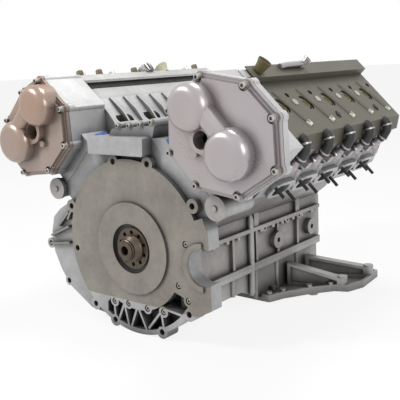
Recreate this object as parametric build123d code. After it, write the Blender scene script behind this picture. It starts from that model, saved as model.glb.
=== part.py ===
"""A ninety-degree ten-cylinder V engine, as a bare long engine without manifolds.

The frame is set on the crankshaft. The origin is the centre of the crankshaft's
flywheel flange, +Y runs along the crankshaft into the engine, +Z is up, and +X is to
the right of someone who faces the flywheel end. Lengths are millimetres.

A bank is drawn with its cylinders upright over the crankshaft: x across the bank
towards the exhaust side, y along the engine, z up the cylinder. bank_place then leans
it to the right or mirrors it to the left.
"""
import os
from math import cos, pi, radians, sin, sqrt

from build123d import *

# Cylinders and crank train
bore = 84.5
stroke = 92.8
rod_length = 154.0
bore_pitch = 90.0
cylinders = 5
half_bank_angle = 45.0
bank_offset = 18.5
end_wall = 49.0
deck_height = 230.0
piston_clearance = 0.06
piston_top_height = 29.0
piston_skirt_drop = 20.0
gudgeon_pin_r = 10.5
ring_height = 1.5

# Crankshaft
main_journal_r = 32.5
main_width = 24.0
crankpin_r = 27.0
crankpin_length = 40.5
web_half_width = 40.0
counterweight_r = 78.0
flange_r = 44.0
flange_thickness = 22.0
flange_bolts = 10
flange_bolt_circle_r = 34.0
flange_bolt_r = 4.5
hub_r = 20.0
hub_length = 23.0
hub_bore_r = 10.0
nose_r = 24.0
sprocket_seat_r = 27.0
damper_r = 82.0
damper_width = 28.0
running_clearance = 0.04
bearing_shell = 2.5

# Crankcase
case_depth = 88.0
crankcase_half_width = 112.0
crankcase_wall = 9.0
lip_reach = 11.0
lip_height = 9.0
bedplate_depth = 92.0
bank_wall_half_width = 66.0
deck_half_width = 84.0
deck_rail_height = 32.0
valley_floor_z = 112.0
bulkhead_width = 23.0
crank_space_r = 96.0
front_cover_thickness = 14.0

# Chain case and bell-housing face
bell_r = 187.0
bell_depth = 35.0
bell_lobe_r = 14.5
bell_hole_r = 6.5
seal_bore_r = 53.0
raised_disc_r = 98.0
raised_disc_height = 5.0
case_wall = 8.0
pocket_inner_r = 134.0
pocket_rim = 11.0
pocket_floor = 8.0
rib_width = 5.0
case_top_z = 196.0
crown_z = 246.0
crown_half_width = 62.0

body_start_y = 13.0
valley_front_y = -14.0
crown_bolts = [(-30, 253), (2, 254), (33, 257), (64, 262)]
crown_boss_r = 9.0
shoulder_x = -96.0
cap_x = -80.0
cap_length = 30.0
cap_width = 38.0
tensioner_place = (85, 238)
tensioner_r = 24.0
tensioner_seat = 31.0

# Cylinder heads
gasket_thickness = 0.8
head_height = 111.0
head_inner_x = 86.0
head_outer_x = 88.0
port_flange_x = 106.0
cam_spacing = 110.0
cam_height = 363.7
cam_journal_r = 12.0
cam_base_r = 15.0
cam_lift = 7.0
lobe_width = 13.0
tower_width = 14.0
plug_well_r = 13.0
head_overhang = 62.0
intake_valve_r = 16.5
exhaust_valve_r = 14.0
valve_stem_r = 3.0
valve_length = 96.0
valve_foot_x = 20.0
valve_lean = 14.0
valve_clearance = 0.3
plug_clearance = 0.3

# Chain drive
chain_pitch = 6.35
tooth_tip = 1.5
chain_gap = 0.6
chain_thickness = 4.0
chain_width = 9.0
crank_teeth = 32
idler_low_teeth = 48
idler_high_teeth = 21
cam_teeth = 28
idler_height = 188.0
idler_hub_r = 14.0
idler_pin_r = 9.0
lower_chain_y = 66.0
right_chain_y = 30.0
phaser_r = 32.0
phaser_width = 34.0
phaser_reach = 28.0
cam_shaft_r = 10.0

# Timing covers and the chain housings behind them
housing_start_y = -31.0
left_setback = 9.0
housing_wall = 8.0
housing_flange = 16.0
housing_body_half_width = 103.0
housing_body_top_z = 408.0
neck_half_width = 62.0
neck_wall = 4.5
hollow_inset = 6.0
bolt_boss_r = 9.5
cover_flange = 8.0
timing_gasket = 1.5
cover_depth = 17.0
bulge_depth = 34.0
bulge_wall = 4.0
bulge_rounding = 20.0
saddle_drop = 7.0
saddle_height = 378.0
saddle_width = 36.0
saddle_rounding = 12.0
cover_step = 4.0
inner_bulge_r = 45.0
outer_bulge_r = 47.0
cover_port_r = 17.0
cover_bolt_r = 3.0
cover_bolt_head_r = 6.5
cover_bolt_head = 11.0
cover_inset = 9.0
port_pad_height = 14.0
port_relief = 1.0
port_screw_reach = 28.0
port_pad_turn = 8.0

# Cam covers and the pressed shield
cover_top_z = 392.0
ridge_top_z = 409.0
ridge_width = 20.0
ridge_overhang = 12.0
cover_half_width = 82.0
cover_wall = 4.0
shield_sheet = 2.0
shelf_overhang = 5.0
shield_gap = 2.0
shield_seat_x = 52.0
shield_seat_r = 7.0
shield_rib_r = 5.0
rib_length = 94.0
rib_shift = 22.0
rib_turn = 20.0
stub_r = 8.0
stub_height = 12.0

# Sump
sump_shallow_z = -143.0
sump_deep_z = -173.0
sump_wall = 6.0
ramp_start_y = 228.0
ramp_end_y = 292.0
base_plate = 9.0
arm_width = 24.0


def prism(sketch, y_start, y_end):
    """Extrude a sketch drawn in x and z from one y to another."""
    return extrude(Plane.XZ.offset(-y_start) * sketch, amount=y_end - y_start, dir=(0, 1, 0))


def disc(x, z, radius, y_start, y_end):
    """A round bar along y."""
    return prism(Pos(x, z) * Circle(radius), y_start, y_end)


def upright(sketch, z_start, z_end):
    """Extrude a sketch drawn in x and y from one height to another."""
    return extrude(Plane.XY.offset(z_start) * sketch, amount=z_end - z_start, dir=(0, 0, 1))


def box_between(x_range, y_range, z_range):
    """A block given by its ranges along the three axes."""
    size = [high - low for low, high in (x_range, y_range, z_range)]
    middle = [(high + low) / 2 for low, high in (x_range, y_range, z_range)]
    return Pos(*middle) * Box(*size)


def bar_sketch(start, end, width):
    """A flat bar between two points of the x-z plane."""
    length = sqrt((end[0] - start[0]) ** 2 + (end[1] - start[1]) ** 2)
    middle = ((start[0] + end[0]) / 2, (start[1] + end[1]) / 2)
    turn = Vector(1, 0, 0).get_signed_angle(Vector(end[0] - start[0], end[1] - start[1], 0))
    return Pos(*middle) * Rot(0, 0, turn) * Rectangle(length, width)


def joined(shapes):
    """One solid body from touching or overlapping shapes."""
    result = shapes[0]
    for shape in shapes[1:]:
        result = result + shape
    return result


def bank_place(part, side):
    """Lean a bank's part to the right, or mirror it to the left."""
    leaned = Rot(0, half_bank_angle, 0) * part
    return leaned if side == "right" else mirror(leaned, about=Plane.YZ)


def bank_point(x, z, side):
    """The engine's x and z of a point given across and up a bank."""
    turn = radians(half_bank_angle)
    across = x * cos(turn) + z * sin(turn)
    height = z * cos(turn) - x * sin(turn)
    return (across if side == "right" else -across), height


# Places along the engine
block_start_y = case_depth
left_first_y = block_start_y + end_wall
first_cylinder_y = {"left": left_first_y, "right": left_first_y + bank_offset}
bank_length = bore_pitch * (cylinders - 1)
block_end_y = first_cylinder_y["right"] + bank_length + end_wall
first_main_y = (first_cylinder_y["left"] + first_cylinder_y["right"]) / 2 - bore_pitch / 2
main_y = [first_main_y + bore_pitch * step for step in range(cylinders + 1)]
chain_y = {"right": right_chain_y, "left": right_chain_y + bank_offset}
housing_y = {"right": housing_start_y, "left": housing_start_y + left_setback}
head_bottom_z = deck_height + gasket_thickness
head_top_z = head_bottom_z + head_height
intake_cam_x = -cam_spacing / 2
exhaust_cam_x = cam_spacing / 2
crank_radius = stroke / 2

# Timing cover bolts in the bank's plane, clockwise from the valley side's top
cover_bolts = {
    "right": [
        (-86, 407),
        (-6, 465),
        (71, 466),
        (135, 407),
        (114, 316),
        (40, 259),
        (-42, 258),
        (-94, 315),
    ],
    "left": [
        (-86, 407),
        (-30, 429),
        (58, 429),
        (111, 392),
        (110, 316),
        (40, 259),
        (-42, 258),
        (-94, 315),
    ],
}
cover_bolt_boss_r = 11.0
cover_edge = 8.5
cover_port = (-1, 339)
port_stubs = [(14, 371), (2, 305)]

# Bell-housing holes around the rim, and bolts that hold the case to the engine
bell_holes = [
    (-41, 180),
    (55, 180),
    (167, 105),
    (146, -117),
    (70, -170),
    (-67, -170),
    (-126, -144),
    (-173, -22),
    (-182, 73),
]
wing_holes = [(-276, -26), (-222, -109)]
case_bolts = [
    (145, 27),
    (122, -61),
    (146, -89),
    (77, -125),
    (32, -126),
    (-23, -125),
    (-65, -127),
]
starter_centre = (188, -14)
starter_r = 38.0
starter_rim = 11.0
starter_lugs = [(181, 41), (172, -79)]


def cylinder_places(side):
    """The y of each cylinder of a bank."""
    return [first_cylinder_y[side] + bore_pitch * step for step in range(cylinders)]


# Block, bedplate and their bolts
def block_outline():
    """The V block's section, from the bedplate joint to both decks."""
    outer_low = bank_point(bank_wall_half_width, 130, "right")
    outer_mid = bank_point(bank_wall_half_width, deck_height - deck_rail_height - 12, "right")
    rail_low = bank_point(deck_half_width, deck_height - deck_rail_height, "right")
    rail_top = bank_point(deck_half_width, deck_height, "right")
    inner_top = bank_point(-bank_wall_half_width, deck_height, "right")
    half_valley = valley_floor_z - bank_wall_half_width * sqrt(2)
    right_side = [
        (crankcase_half_width, 0),
        (crankcase_half_width, outer_low[1] - 20),
        outer_low,
        outer_mid,
        rail_low,
        rail_top,
        inner_top,
        (half_valley, valley_floor_z),
    ]
    left_side = [(-x, z) for x, z in reversed(right_side)]
    return Polygon(*(right_side + left_side), align=None)


def main_bolt_x():
    """Distance of the main bearing bolts from the crankshaft's axis."""
    return main_journal_r + bearing_shell + 12


def cylinder_block():
    """Cast block: ten bores, main bearing halves, water jackets and side columns."""
    block = prism(block_outline(), block_start_y, block_end_y)
    for y in (main_y[2], main_y[4]):
        for side in (-1, 1):
            column = box_between(
                sorted((side * crankcase_half_width, side * (crankcase_half_width + 8))),
                (y - 9, y + 9),
                (0, 40),
            )
            block = block + column
    for bay in range(cylinders):
        bay_start = main_y[bay] + bulkhead_width / 2
        bay_end = main_y[bay + 1] - bulkhead_width / 2
        block = block - disc(0, 0, crank_space_r, bay_start, bay_end)
    journal_seat = main_journal_r + bearing_shell
    block = block - disc(0, 0, journal_seat, block_start_y, block_end_y)
    for side in ("left", "right"):
        for y in cylinder_places(side):
            cut = Pos(0, y, 0) * upright(Circle(bore / 2), 60, deck_height)
            block = block - bank_place(cut, side)
    return block


def bedplate():
    """Lower crankcase frame with the lower main bearing halves and side pads."""
    outline = Polygon(
        (-crankcase_half_width, 0),
        (crankcase_half_width, 0),
        (crankcase_half_width, -bedplate_depth),
        (-crankcase_half_width, -bedplate_depth),
        align=None,
    )
    frame = prism(outline, block_start_y, block_end_y)
    for z_top in (0, lip_height - bedplate_depth):
        lip = box_between(
            (-crankcase_half_width - lip_reach, crankcase_half_width + lip_reach),
            (block_start_y, block_end_y),
            (z_top - lip_height, z_top),
        )
        frame = frame + lip
    inner_half = crankcase_half_width - crankcase_wall
    for bay in range(cylinders):
        bay_start = main_y[bay] + bulkhead_width / 2
        bay_end = main_y[bay + 1] - bulkhead_width / 2
        frame = frame - box_between(
            (-inner_half, inner_half), (bay_start, bay_end), (-bedplate_depth, 0)
        )
    frame = frame - disc(0, 0, main_journal_r + bearing_shell, block_start_y, block_end_y)
    for side in (-1, 1):
        for y in bedplate_rib_y():
            rib = box_between(
                sorted((side * crankcase_half_width, side * (crankcase_half_width + 8))),
                (y - 4, y + 4),
                (-bedplate_depth, 0),
            )
            frame = frame + rib
        for y in mount_pad_y():
            frame = frame + mount_boss(side, y)
            frame = frame - mount_hole(side, y)
    return frame


def bedplate_rib_y():
    """Places of the bedplate's upright side ribs."""
    return [y for y in main_y[1:-1]]


def mount_pad_y():
    """Places of the engine mount bosses along the bedplate."""
    return [364.0, 520.0]


mount_pad_z = -50.0
mount_pad_r = 20.0
mount_pad_reach = 14.0
mount_hole_r = 6.0
mount_hole_depth = 24.0


def along_x(y, z, radius, x_start, x_end):
    """A round bar along x."""
    return extrude(
        Plane.YZ.offset(x_start) * Pos(y, z) * Circle(radius), amount=x_end - x_start, dir=(1, 0, 0)
    )


def mount_boss(side, y):
    """A round engine mount boss on a side of the bedplate."""
    reach = crankcase_half_width + mount_pad_reach
    start = crankcase_half_width - crankcase_wall
    low, high = sorted((side * start, side * reach))
    return along_x(y, mount_pad_z, mount_pad_r, low, high)


def mount_hole(side, y):
    """The blind threaded hole in a mount boss."""
    reach = crankcase_half_width + mount_pad_reach
    start = reach - mount_hole_depth + crankcase_wall
    low, high = sorted((side * start, side * reach))
    return along_x(y, mount_pad_z, mount_hole_r, low, high)


def bedplate_bolts():
    """Flange bolts that stand on the bedplate's lower lip, both sides."""
    bolts = []
    for side in (-1, 1):
        for y in main_y:
            for shift in (-20, 20):
                if block_start_y + 8 < y + shift < block_end_y - 8:
                    x = side * (crankcase_half_width + lip_reach / 2)
                    bolts.append(upright(Pos(x, y + shift) * Circle(5), -16, -lip_height))
    return Compound(children=bolts)


def main_bearing_shells():
    """Twelve half shells round the six main journals."""
    shells = []
    for y in main_y:
        outer = disc(0, 0, main_journal_r + bearing_shell, y - main_width / 2 + 1, y + main_width / 2 - 1)
        ring = outer - disc(0, 0, main_journal_r + running_clearance, y - main_width, y + main_width)
        shells.append(split(ring, bisect_by=Plane.XY, keep=Keep.TOP))
        shells.append(split(ring, bisect_by=Plane.XY, keep=Keep.BOTTOM))
    return Compound(children=shells)


# Crank train
def throw_angle(index):
    """Angle of a crankpin from the engine's upright, in degrees."""
    firing_places = [0, 144, 216, 288, 72]
    return firing_places[index]


def crank_web(angle, y_start, y_end):
    """One crank cheek with its counterweight, turned to its throw."""
    cheek = Circle(web_half_width) + Pos(0, crank_radius) * Circle(crankpin_r + 9)
    weight = Circle(counterweight_r) & Pos(0, -counterweight_r) * Rectangle(
        2 * counterweight_r, 2 * counterweight_r - 30
    )
    blank = cheek + weight
    return Rot(0, angle, 0) * prism(blank, y_start, y_end)


def crankshaft():
    """Five-throw crankshaft with flange, hub and nose."""
    parts = [disc(0, 0, flange_r, 0, flange_thickness)]
    parts.append(disc(0, 0, hub_r, -hub_length, 0))
    parts.append(Pos(0, -5, 0) * Rot(90, 0, 0) * Cone(hub_r + 8, hub_r, 10))
    parts.append(disc(0, 0, sprocket_seat_r, flange_thickness, main_y[0] - main_width / 2))
    for y in main_y:
        parts.append(disc(0, 0, main_journal_r, y - main_width / 2, y + main_width / 2))
    for index in range(cylinders):
        start = main_y[index] + main_width / 2
        end = main_y[index + 1] - main_width / 2
        pin_start = (start + end - crankpin_length) / 2
        angle = throw_angle(index)
        parts.append(crank_web(angle, start, pin_start))
        parts.append(crank_web(angle, pin_start + crankpin_length, end))
        pin = disc(0, crank_radius, crankpin_r, pin_start, pin_start + crankpin_length)
        parts.append(Rot(0, angle, 0) * pin)
    nose_end = block_end_y + front_cover_thickness + damper_width + 4
    parts.append(disc(0, 0, nose_r, main_y[-1] + main_width / 2, nose_end))
    shaft = joined(parts)
    shaft = shaft - disc(0, 0, hub_bore_r, -hub_length, flange_thickness)
    for step in range(flange_bolts):
        angle = radians(360 / flange_bolts * step)
        x = flange_bolt_circle_r * sin(angle)
        z = flange_bolt_circle_r * cos(angle)
        shaft = shaft - disc(x, z, flange_bolt_r, 0, flange_thickness)
    return shaft


def vibration_damper():
    """Damper ring on the crankshaft's nose."""
    start = block_end_y + front_cover_thickness + 4
    ring = disc(0, 0, damper_r, start, start + damper_width)
    ring = ring - disc(0, 0, damper_r - 16, start + 10, start + damper_width)
    ring = ring - disc(0, 0, nose_r, start, start + damper_width)
    hub = disc(0, 0, nose_r + 14, start, start + damper_width)
    return ring + (hub - disc(0, 0, nose_r, start, start + damper_width))


def piston_height(side, index):
    """Height of a gudgeon pin over the crankshaft's axis at rest."""
    lean = half_bank_angle if side == "right" else -half_bank_angle
    swing = radians(throw_angle(index) - lean)
    return crank_radius * cos(swing) + sqrt(rod_length**2 - (crank_radius * sin(swing)) ** 2)


def piston(side, index):
    """One piston with its three rings and gudgeon pin."""
    y = cylinder_places(side)[index]
    pin_z = piston_height(side, index)
    radius = bore / 2 - piston_clearance
    body = upright(Circle(radius), pin_z - piston_skirt_drop, pin_z + piston_top_height)
    inside = upright(Circle(radius - 6), pin_z - piston_skirt_drop, pin_z + piston_top_height - 9)
    bosses = Pos(0, 0, pin_z) * Box(30, 2 * radius, 2 * gudgeon_pin_r + 9)
    bosses = bosses & upright(Circle(radius - 3), pin_z - 30, pin_z + 30)
    gap = Pos(0, 0, pin_z) * Box(40, 27, 60)
    body = body - (inside - (bosses - gap))
    relief = upright(Circle(radius) - Rectangle(200, 52), pin_z - piston_skirt_drop, pin_z - 12)
    body = body - relief
    pin = Pos(0, 0, pin_z) * Rot(90, 0, 0) * Cylinder(gudgeon_pin_r, 2 * radius - 14)
    body = body - pin
    pieces = [body]
    for step in range(3):
        low = pin_z + piston_top_height - 8 - 6 * step
        ring = upright(Circle(radius + piston_clearance / 2) - Circle(radius - 3), low, low + ring_height)
        pieces[0] = pieces[0] - upright(
            Circle(radius + 1) - Circle(radius - 3), low, low + ring_height
        )
        pieces.append(ring)
    pieces.append(pin - Pos(0, 0, pin_z) * Rot(90, 0, 0) * Cylinder(5.5, 2 * radius))
    placed = [bank_place(Pos(0, y, 0) * piece, side) for piece in pieces]
    return Compound(children=placed)


# Chain case and its fittings
def bell_outline():
    """The bell-housing face: a round flange with lobes, and the starter's notch."""
    outline = Circle(bell_r)
    for x, z in bell_holes:
        outline = outline + Pos(x, z) * Circle(bell_lobe_r)
    lug_edge = starter_centre[0] + 14
    lugs = Polygon(
        (150, 70),
        (190, 84),
        (200, 60),
        (lug_edge, 20),
        (lug_edge, -100),
        (150, -128),
        (120, -60),
        align=None,
    )
    outline = outline + lugs
    outline = outline - Pos(*starter_centre) * Circle(starter_r)
    return outline


def wing_outline():
    """The fan-shaped wing at the left of the bell-housing face."""
    wing = Polygon(
        (-150, 95),
        (-205, 75),
        (-232, 60),
        (-256, 40),
        (-268, 2),
        (-264, -44),
        (-244, -86),
        (-215, -122),
        (-150, -160),
        (-100, -165),
        (-60, -120),
        align=None,
    )
    for x, z in wing_holes:
        wing = wing + Pos(x, z) * Circle(12)
    return wing


def pocket_sketch():
    """Truss pockets between the bolts and the rim at the bottom of the face."""
    pockets = Circle(bell_r - pocket_rim) - Circle(pocket_inner_r)
    sector = Polygon((0, -40), (260, -125), (260, -260), (-96, -260), (-86, -132), align=None)
    pockets = pockets & sector
    low_point = (4, -bell_r)
    truss = [
        (case_bolts[6], bell_holes[5]),
        (case_bolts[6], (-36, -bell_r)),
        (case_bolts[5], (-36, -bell_r)),
        (case_bolts[5], low_point),
        (case_bolts[4], low_point),
        (case_bolts[4], bell_holes[4]),
        (case_bolts[3], bell_holes[4]),
        (case_bolts[3], bell_holes[3]),
        (case_bolts[2], bell_holes[3]),
    ]
    for start, end in truss:
        pockets = pockets - bar_sketch(start, end, rib_width)
    for x, z in case_bolts + bell_holes:
        pockets = pockets - Pos(x, z) * Circle(12)
    return pockets


def case_body_outline():
    """Section of the chain case behind the face, up to both head joints."""
    outer_top = bank_point(bank_wall_half_width + 10, deck_height, "right")
    inner_top = bank_point(shoulder_x, deck_height, "right")
    outer_low = bank_point(bank_wall_half_width + 10, 130, "right")
    right_side = [
        (crankcase_half_width, sump_shallow_z),
        (crankcase_half_width, outer_low[1] - 20),
        outer_low,
        outer_top,
        inner_top,
        (crown_half_width, inner_top[1]),
    ]
    left_side = [(-x, z) for x, z in reversed(right_side)]
    crown = [(crown_half_width + 8, crown_z + 10), (-crown_half_width + 12, crown_z)]
    return Polygon(*(right_side + crown + left_side), align=None)


def chain_case():
    """Chain case that carries the bell-housing face, the wing and the rear seal."""
    case = prism(bell_outline(), 0, bell_depth)
    case = case + prism(wing_outline(), 9, bell_depth - 8)
    case = case + prism(case_body_outline(), body_start_y, case_depth)
    for x, z in crown_bolts:
        case = case + disc(x, z - 2, crown_boss_r, body_start_y, case_depth - 20)
    for side in ("left", "right"):
        x, z = bank_point(*tensioner_place, side)
        case = case + disc(x, z, tensioner_r - 2, housing_y[side] + tensioner_seat, case_depth)
    cavity = offset(case_body_outline(), amount=-case_wall)
    case = case - prism(cavity, body_start_y + case_wall, case_depth)
    for side in ("left", "right"):
        mouth = box_between(
            (-neck_half_width + housing_wall, neck_half_width - housing_wall),
            (body_start_y + case_wall, case_depth),
            (deck_height - 2 * case_wall, deck_height),
        )
        case = case - bank_place(mouth, side)
    case = case + prism(Circle(raised_disc_r) - Circle(seal_bore_r), -raised_disc_height, 0)
    case = case - prism(pocket_sketch(), 0, bell_depth - pocket_floor)
    for start, end in fin_lines():
        fin = bar_sketch(start, end, rib_width)
        case = case + prism(fin, 0, 9)
    case = case - disc(0, 0, seal_bore_r, -raised_disc_height, case_depth)
    rim = Pos(*starter_centre) * (Circle(starter_r + starter_rim) - Circle(starter_r))
    case = case + prism(rim & starter_rim_region(), -4, bell_depth)
    for x, z in bell_holes + wing_holes:
        case = case - disc(x, z, bell_hole_r, -1, bell_depth + 1)
    for x, z in case_bolts:
        case = case - disc(x, z, 7, -1, 9)
    return case


def starter_rim_region():
    """The half of the starter's rim that stands on the face."""
    return Pos(starter_centre[0] - 60, starter_centre[1] - 6) * Rectangle(120, 110)


def fin_lines():
    """Radial fins on the wing."""
    lines = []
    for start, end in (
        ((-200, 62), (-186, 40)),
        ((-233, 57), (-196, 22)),
        ((-262, 24), (-198, -4)),
        ((-268, -14), (-200, -24)),
    ):
        lines.append((start, end))
    return lines


# Seals and sealing faces
def rear_main_seal():
    """Shaft seal round the flywheel flange."""
    ring = disc(0, 0, seal_bore_r, 4, 14) - disc(0, 0, flange_r + running_clearance, 4, 14)
    lip = disc(0, 0, seal_bore_r, 2, 4) - disc(0, 0, flange_r + 5, 2, 4)
    return ring + lip


def front_cover():
    """Closing cover with its seal bore at the far end of the crankcase."""
    outline = Polygon(
        (-crankcase_half_width, -bedplate_depth),
        (crankcase_half_width, -bedplate_depth),
        (crankcase_half_width, 20),
        (70, 96),
        (-70, 96),
        (-crankcase_half_width, 20),
        align=None,
    )
    outline = fillet(outline.vertices(), 12)
    end = block_end_y + front_cover_thickness
    cover = prism(outline, block_end_y, end)
    collar = disc(0, 0, nose_r + 18, block_end_y, end + 2)
    cover = cover + collar
    return cover - disc(0, 0, nose_r + running_clearance, block_end_y, end + 2)


def front_cover_bolts():
    """Bolts round the far end cover."""
    head_start = block_end_y + front_cover_thickness
    places = [(-100, -80), (100, -80), (100, 8), (-100, 8), (60, 84), (-60, 84)]
    return Compound(children=[disc(x, z, 6, head_start, head_start + 6) for x, z in places])


def head_gasket(side):
    """Sheet gasket between a deck and its head, open over the bores."""
    sheet = box_between(
        (-bank_wall_half_width, deck_half_width),
        (block_start_y, block_end_y),
        (deck_height, head_bottom_z),
    )
    for y in cylinder_places(side):
        sheet = sheet - Pos(0, y, 0) * upright(Circle(bore / 2 + 0.5), deck_height, head_bottom_z)
    return bank_place(sheet, side)


def head_gaskets():
    """Both head gaskets."""
    return Compound(children=[head_gasket("left"), head_gasket("right")])


# Cylinder heads and valve gear
def head_outline():
    """A head's section between its joint with the block and the cover's joint."""
    return Polygon(
        (-head_inner_x, head_bottom_z),
        (head_outer_x, head_bottom_z),
        (head_outer_x, head_bottom_z + 14),
        (port_flange_x - 8, head_bottom_z + 26),
        (port_flange_x - 8, head_bottom_z + 62),
        (head_outer_x, head_bottom_z + 84),
        (head_outer_x, head_top_z),
        (-head_inner_x, head_top_z),
        align=None,
    )


def housing_outline(side, grow=0.0):
    """Outline of a timing cover's seat, the same on cover, gasket and housing."""
    plate = Polygon(*cover_bolts[side], align=None)
    reach = cover_edge + grow
    plate = offset(plate, amount=reach, kind=Kind.ARC if reach > 0 else Kind.INTERSECTION)
    for x, z in cover_bolts[side]:
        if cover_bolt_boss_r + grow > 1:
            plate = plate + Pos(x, z) * Circle(cover_bolt_boss_r + grow)
    return plate


def head_end_y(side):
    """The far end of a head."""
    return cylinder_places(side)[-1] + head_overhang


def tower_places(side):
    """Places of the camshaft bearings, between and outside the cylinders."""
    places = [y - bore_pitch / 2 for y in cylinder_places(side)]
    return places + [cylinder_places(side)[-1] + bore_pitch / 2]


def cylinder_head(side):
    """Cast head with ports, plug wells, cam bearings and its open chain housing."""
    start = case_depth
    end = head_end_y(side)
    head = prism(head_outline(), start, end)
    cover_room = cam_height + cam_journal_r + 5
    tower_reach = cam_spacing / 2 + cam_journal_r + 4
    for y in tower_places(side):
        tower = box_between(
            (-tower_reach, tower_reach),
            (y - tower_width / 2, y + tower_width / 2),
            (head_top_z - 20, cover_room),
        )
        head = head + tower
    trough = head_top_z - 18
    for y in cylinder_places(side):
        half_bay = (bore_pitch - tower_width) / 2
        for x_range in ((-head_inner_x + 7, -plug_well_r - 8), (plug_well_r + 8, head_outer_x - 7)):
            head = head - box_between(x_range, (y - half_bay, y + half_bay), (trough, cover_room))
    for y in cylinder_places(side):
        chamber = Pos(0, y, head_bottom_z) * Cone(bore / 2 - 1, 22, 30)
        head = head - chamber
        head = head - Pos(0, y, 0) * upright(Circle(plug_well_r), head_bottom_z + 34, cover_room)
        head = head - port_cut(y, "intake")
        head = head + exhaust_flange(y)
        head = head - port_cut(y, "exhaust")
    for x in (intake_cam_x, exhaust_cam_x):
        journal_bore = disc(x, cam_height, cam_journal_r + running_clearance, start - 20, end + 1)
        head = head - journal_bore
    head = head + chain_housing(side)
    for y in cylinder_places(side):
        for kind in ("intake", "exhaust"):
            head = head - valve_pair(y, kind, valve_clearance)
        head = head - Pos(0, y, 0) * spark_plug_shape(plug_clearance)
    return bank_place(head, side)


def housing_body(side, inset):
    """Section of the chain housing behind its flange, or its hollow."""
    half = housing_body_half_width - inset
    top = housing_body_top_z - inset
    low = head_bottom_z
    window = Pos(0, (top + low) / 2) * Rectangle(2 * half, top - low)
    return housing_outline(side, -inset) & window


def housing_hollow(side):
    """Opening of a housing's flange, inside the bolt bosses."""
    plate = Polygon(*cover_bolts[side], align=None)
    opening = offset(plate, amount=-hollow_inset, kind=Kind.INTERSECTION)
    for x, z in cover_bolts[side]:
        opening = opening - Pos(x, z) * Circle(bolt_boss_r)
    return opening


def chain_housing(side):
    """The chain housing in front of a head: flange, stepped-in body and neck."""
    start = housing_y[side] + cover_flange
    step = start + housing_flange
    end = case_depth
    shell = prism(housing_outline(side), start, step) - prism(housing_hollow(side), start, step)
    body = prism(housing_body(side, 0.0), step - housing_wall, end)
    body = body - prism(housing_body(side, housing_wall), step - housing_wall, end)
    neck = box_between(
        (-neck_half_width, neck_half_width), (body_start_y, end), (head_bottom_z, deck_height + 40)
    )
    back = housing_body(side, 0.0) & (Pos(0, head_top_z + 190) * Rectangle(600, 400))
    shell = shell + body + neck + prism(back, end - housing_wall, end)
    room_low = neck_half_width - neck_wall
    room_high = neck_half_width + 5
    room = Polygon(
        (-room_low, head_bottom_z),
        (room_low, head_bottom_z),
        (room_low, head_bottom_z + 35),
        (room_high, head_bottom_z + 61),
        (-room_high, head_bottom_z + 61),
        (-room_low, head_bottom_z + 35),
        align=None,
    )
    shell = shell - prism(room, body_start_y + case_wall, end - housing_wall)
    shell = shell - prism(housing_body(side, housing_wall), step, end - housing_wall)
    for x in (intake_cam_x, exhaust_cam_x):
        shell = shell - disc(x, cam_height, cam_base_r + 2, end - housing_wall, end)
    return shell


def valve_pair(y, kind, grow):
    """Both closed valves of one kind in one cylinder, upright in the bank's frame."""
    sign = -1 if kind == "intake" else 1
    head_r = (intake_valve_r if kind == "intake" else exhaust_valve_r) + grow
    length = valve_length
    stem = Cylinder(valve_stem_r + grow, length, align=(Align.CENTER, Align.CENTER, Align.MIN))
    cone = Cone(head_r, valve_stem_r + grow, 9, align=(Align.CENTER, Align.CENTER, Align.MIN))
    plate = Cylinder(head_r, 2 + grow, align=(Align.CENTER, Align.CENTER, Align.MAX))
    valve = stem + cone + plate
    pair = []
    for step in (-1, 1):
        place = Pos(sign * valve_foot_x, y + step * 19, head_bottom_z + 16)
        pair.append(place * Rot(0, sign * valve_lean, 0) * valve)
    return Compound(children=pair)


def valves(kind):
    """All the valves of one kind, in both banks."""
    placed = []
    for side in ("left", "right"):
        for y in cylinder_places(side):
            for valve in valve_pair(y, kind, 0.0).solids():
                placed.append(bank_place(valve, side))
    return Compound(children=placed)


def intake_valves():
    """Twenty intake valves."""
    return valves("intake")


def exhaust_valves():
    """Twenty exhaust valves."""
    return valves("exhaust")


def spark_plug_shape(grow):
    """One spark plug: hexagon, thread and insulator, upright in the bank's frame."""
    low = head_bottom_z + 20
    plug = upright(Circle(6 + grow), low - grow, low + 20)
    plug = plug + upright(Circle(9.5 + grow), low + 20, low + 34)
    return plug + upright(Circle(5 + grow), low + 34, low + 56)


def spark_plugs():
    """Ten spark plugs in their wells."""
    plugs = []
    for side in ("left", "right"):
        for y in cylinder_places(side):
            plugs.append(bank_place(Pos(0, y, 0) * spark_plug_shape(0.0), side))
    return Compound(children=plugs)


def port_cut(y, kind):
    """An oval port from a head's side down into a chamber."""
    side_x = -head_inner_x if kind == "intake" else port_flange_x
    lift = 46 if kind == "intake" else 44
    outer = (side_x * 1.05, head_bottom_z + lift)
    inner = (-16 if kind == "intake" else 16, head_bottom_z + 12)
    reach = sqrt((outer[0] - inner[0]) ** 2 + (outer[1] - inner[1]) ** 2)
    direction = Vector(inner[0] - outer[0], 0, inner[1] - outer[1])
    plane = Plane(origin=(outer[0], y, outer[1]), x_dir=(0, 1, 0), z_dir=direction)
    return extrude(plane * SlotCenterToCenter(22, 28), amount=reach)


def exhaust_flange(y):
    """The machined flange round one exhaust port."""
    centre_z = head_bottom_z + 44
    plane = Plane(origin=(port_flange_x - 14, y, centre_z), x_dir=(0, 1, 0), z_dir=(1, 0, 0))
    oval = SlotCenterToCenter(34, 46)
    flange = extrude(plane * oval, amount=14)
    for step in (-1, 1):
        boss = extrude(plane * Pos(step * 36, step * -14) * Circle(8), amount=14)
        flange = flange + boss
    return flange


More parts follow.
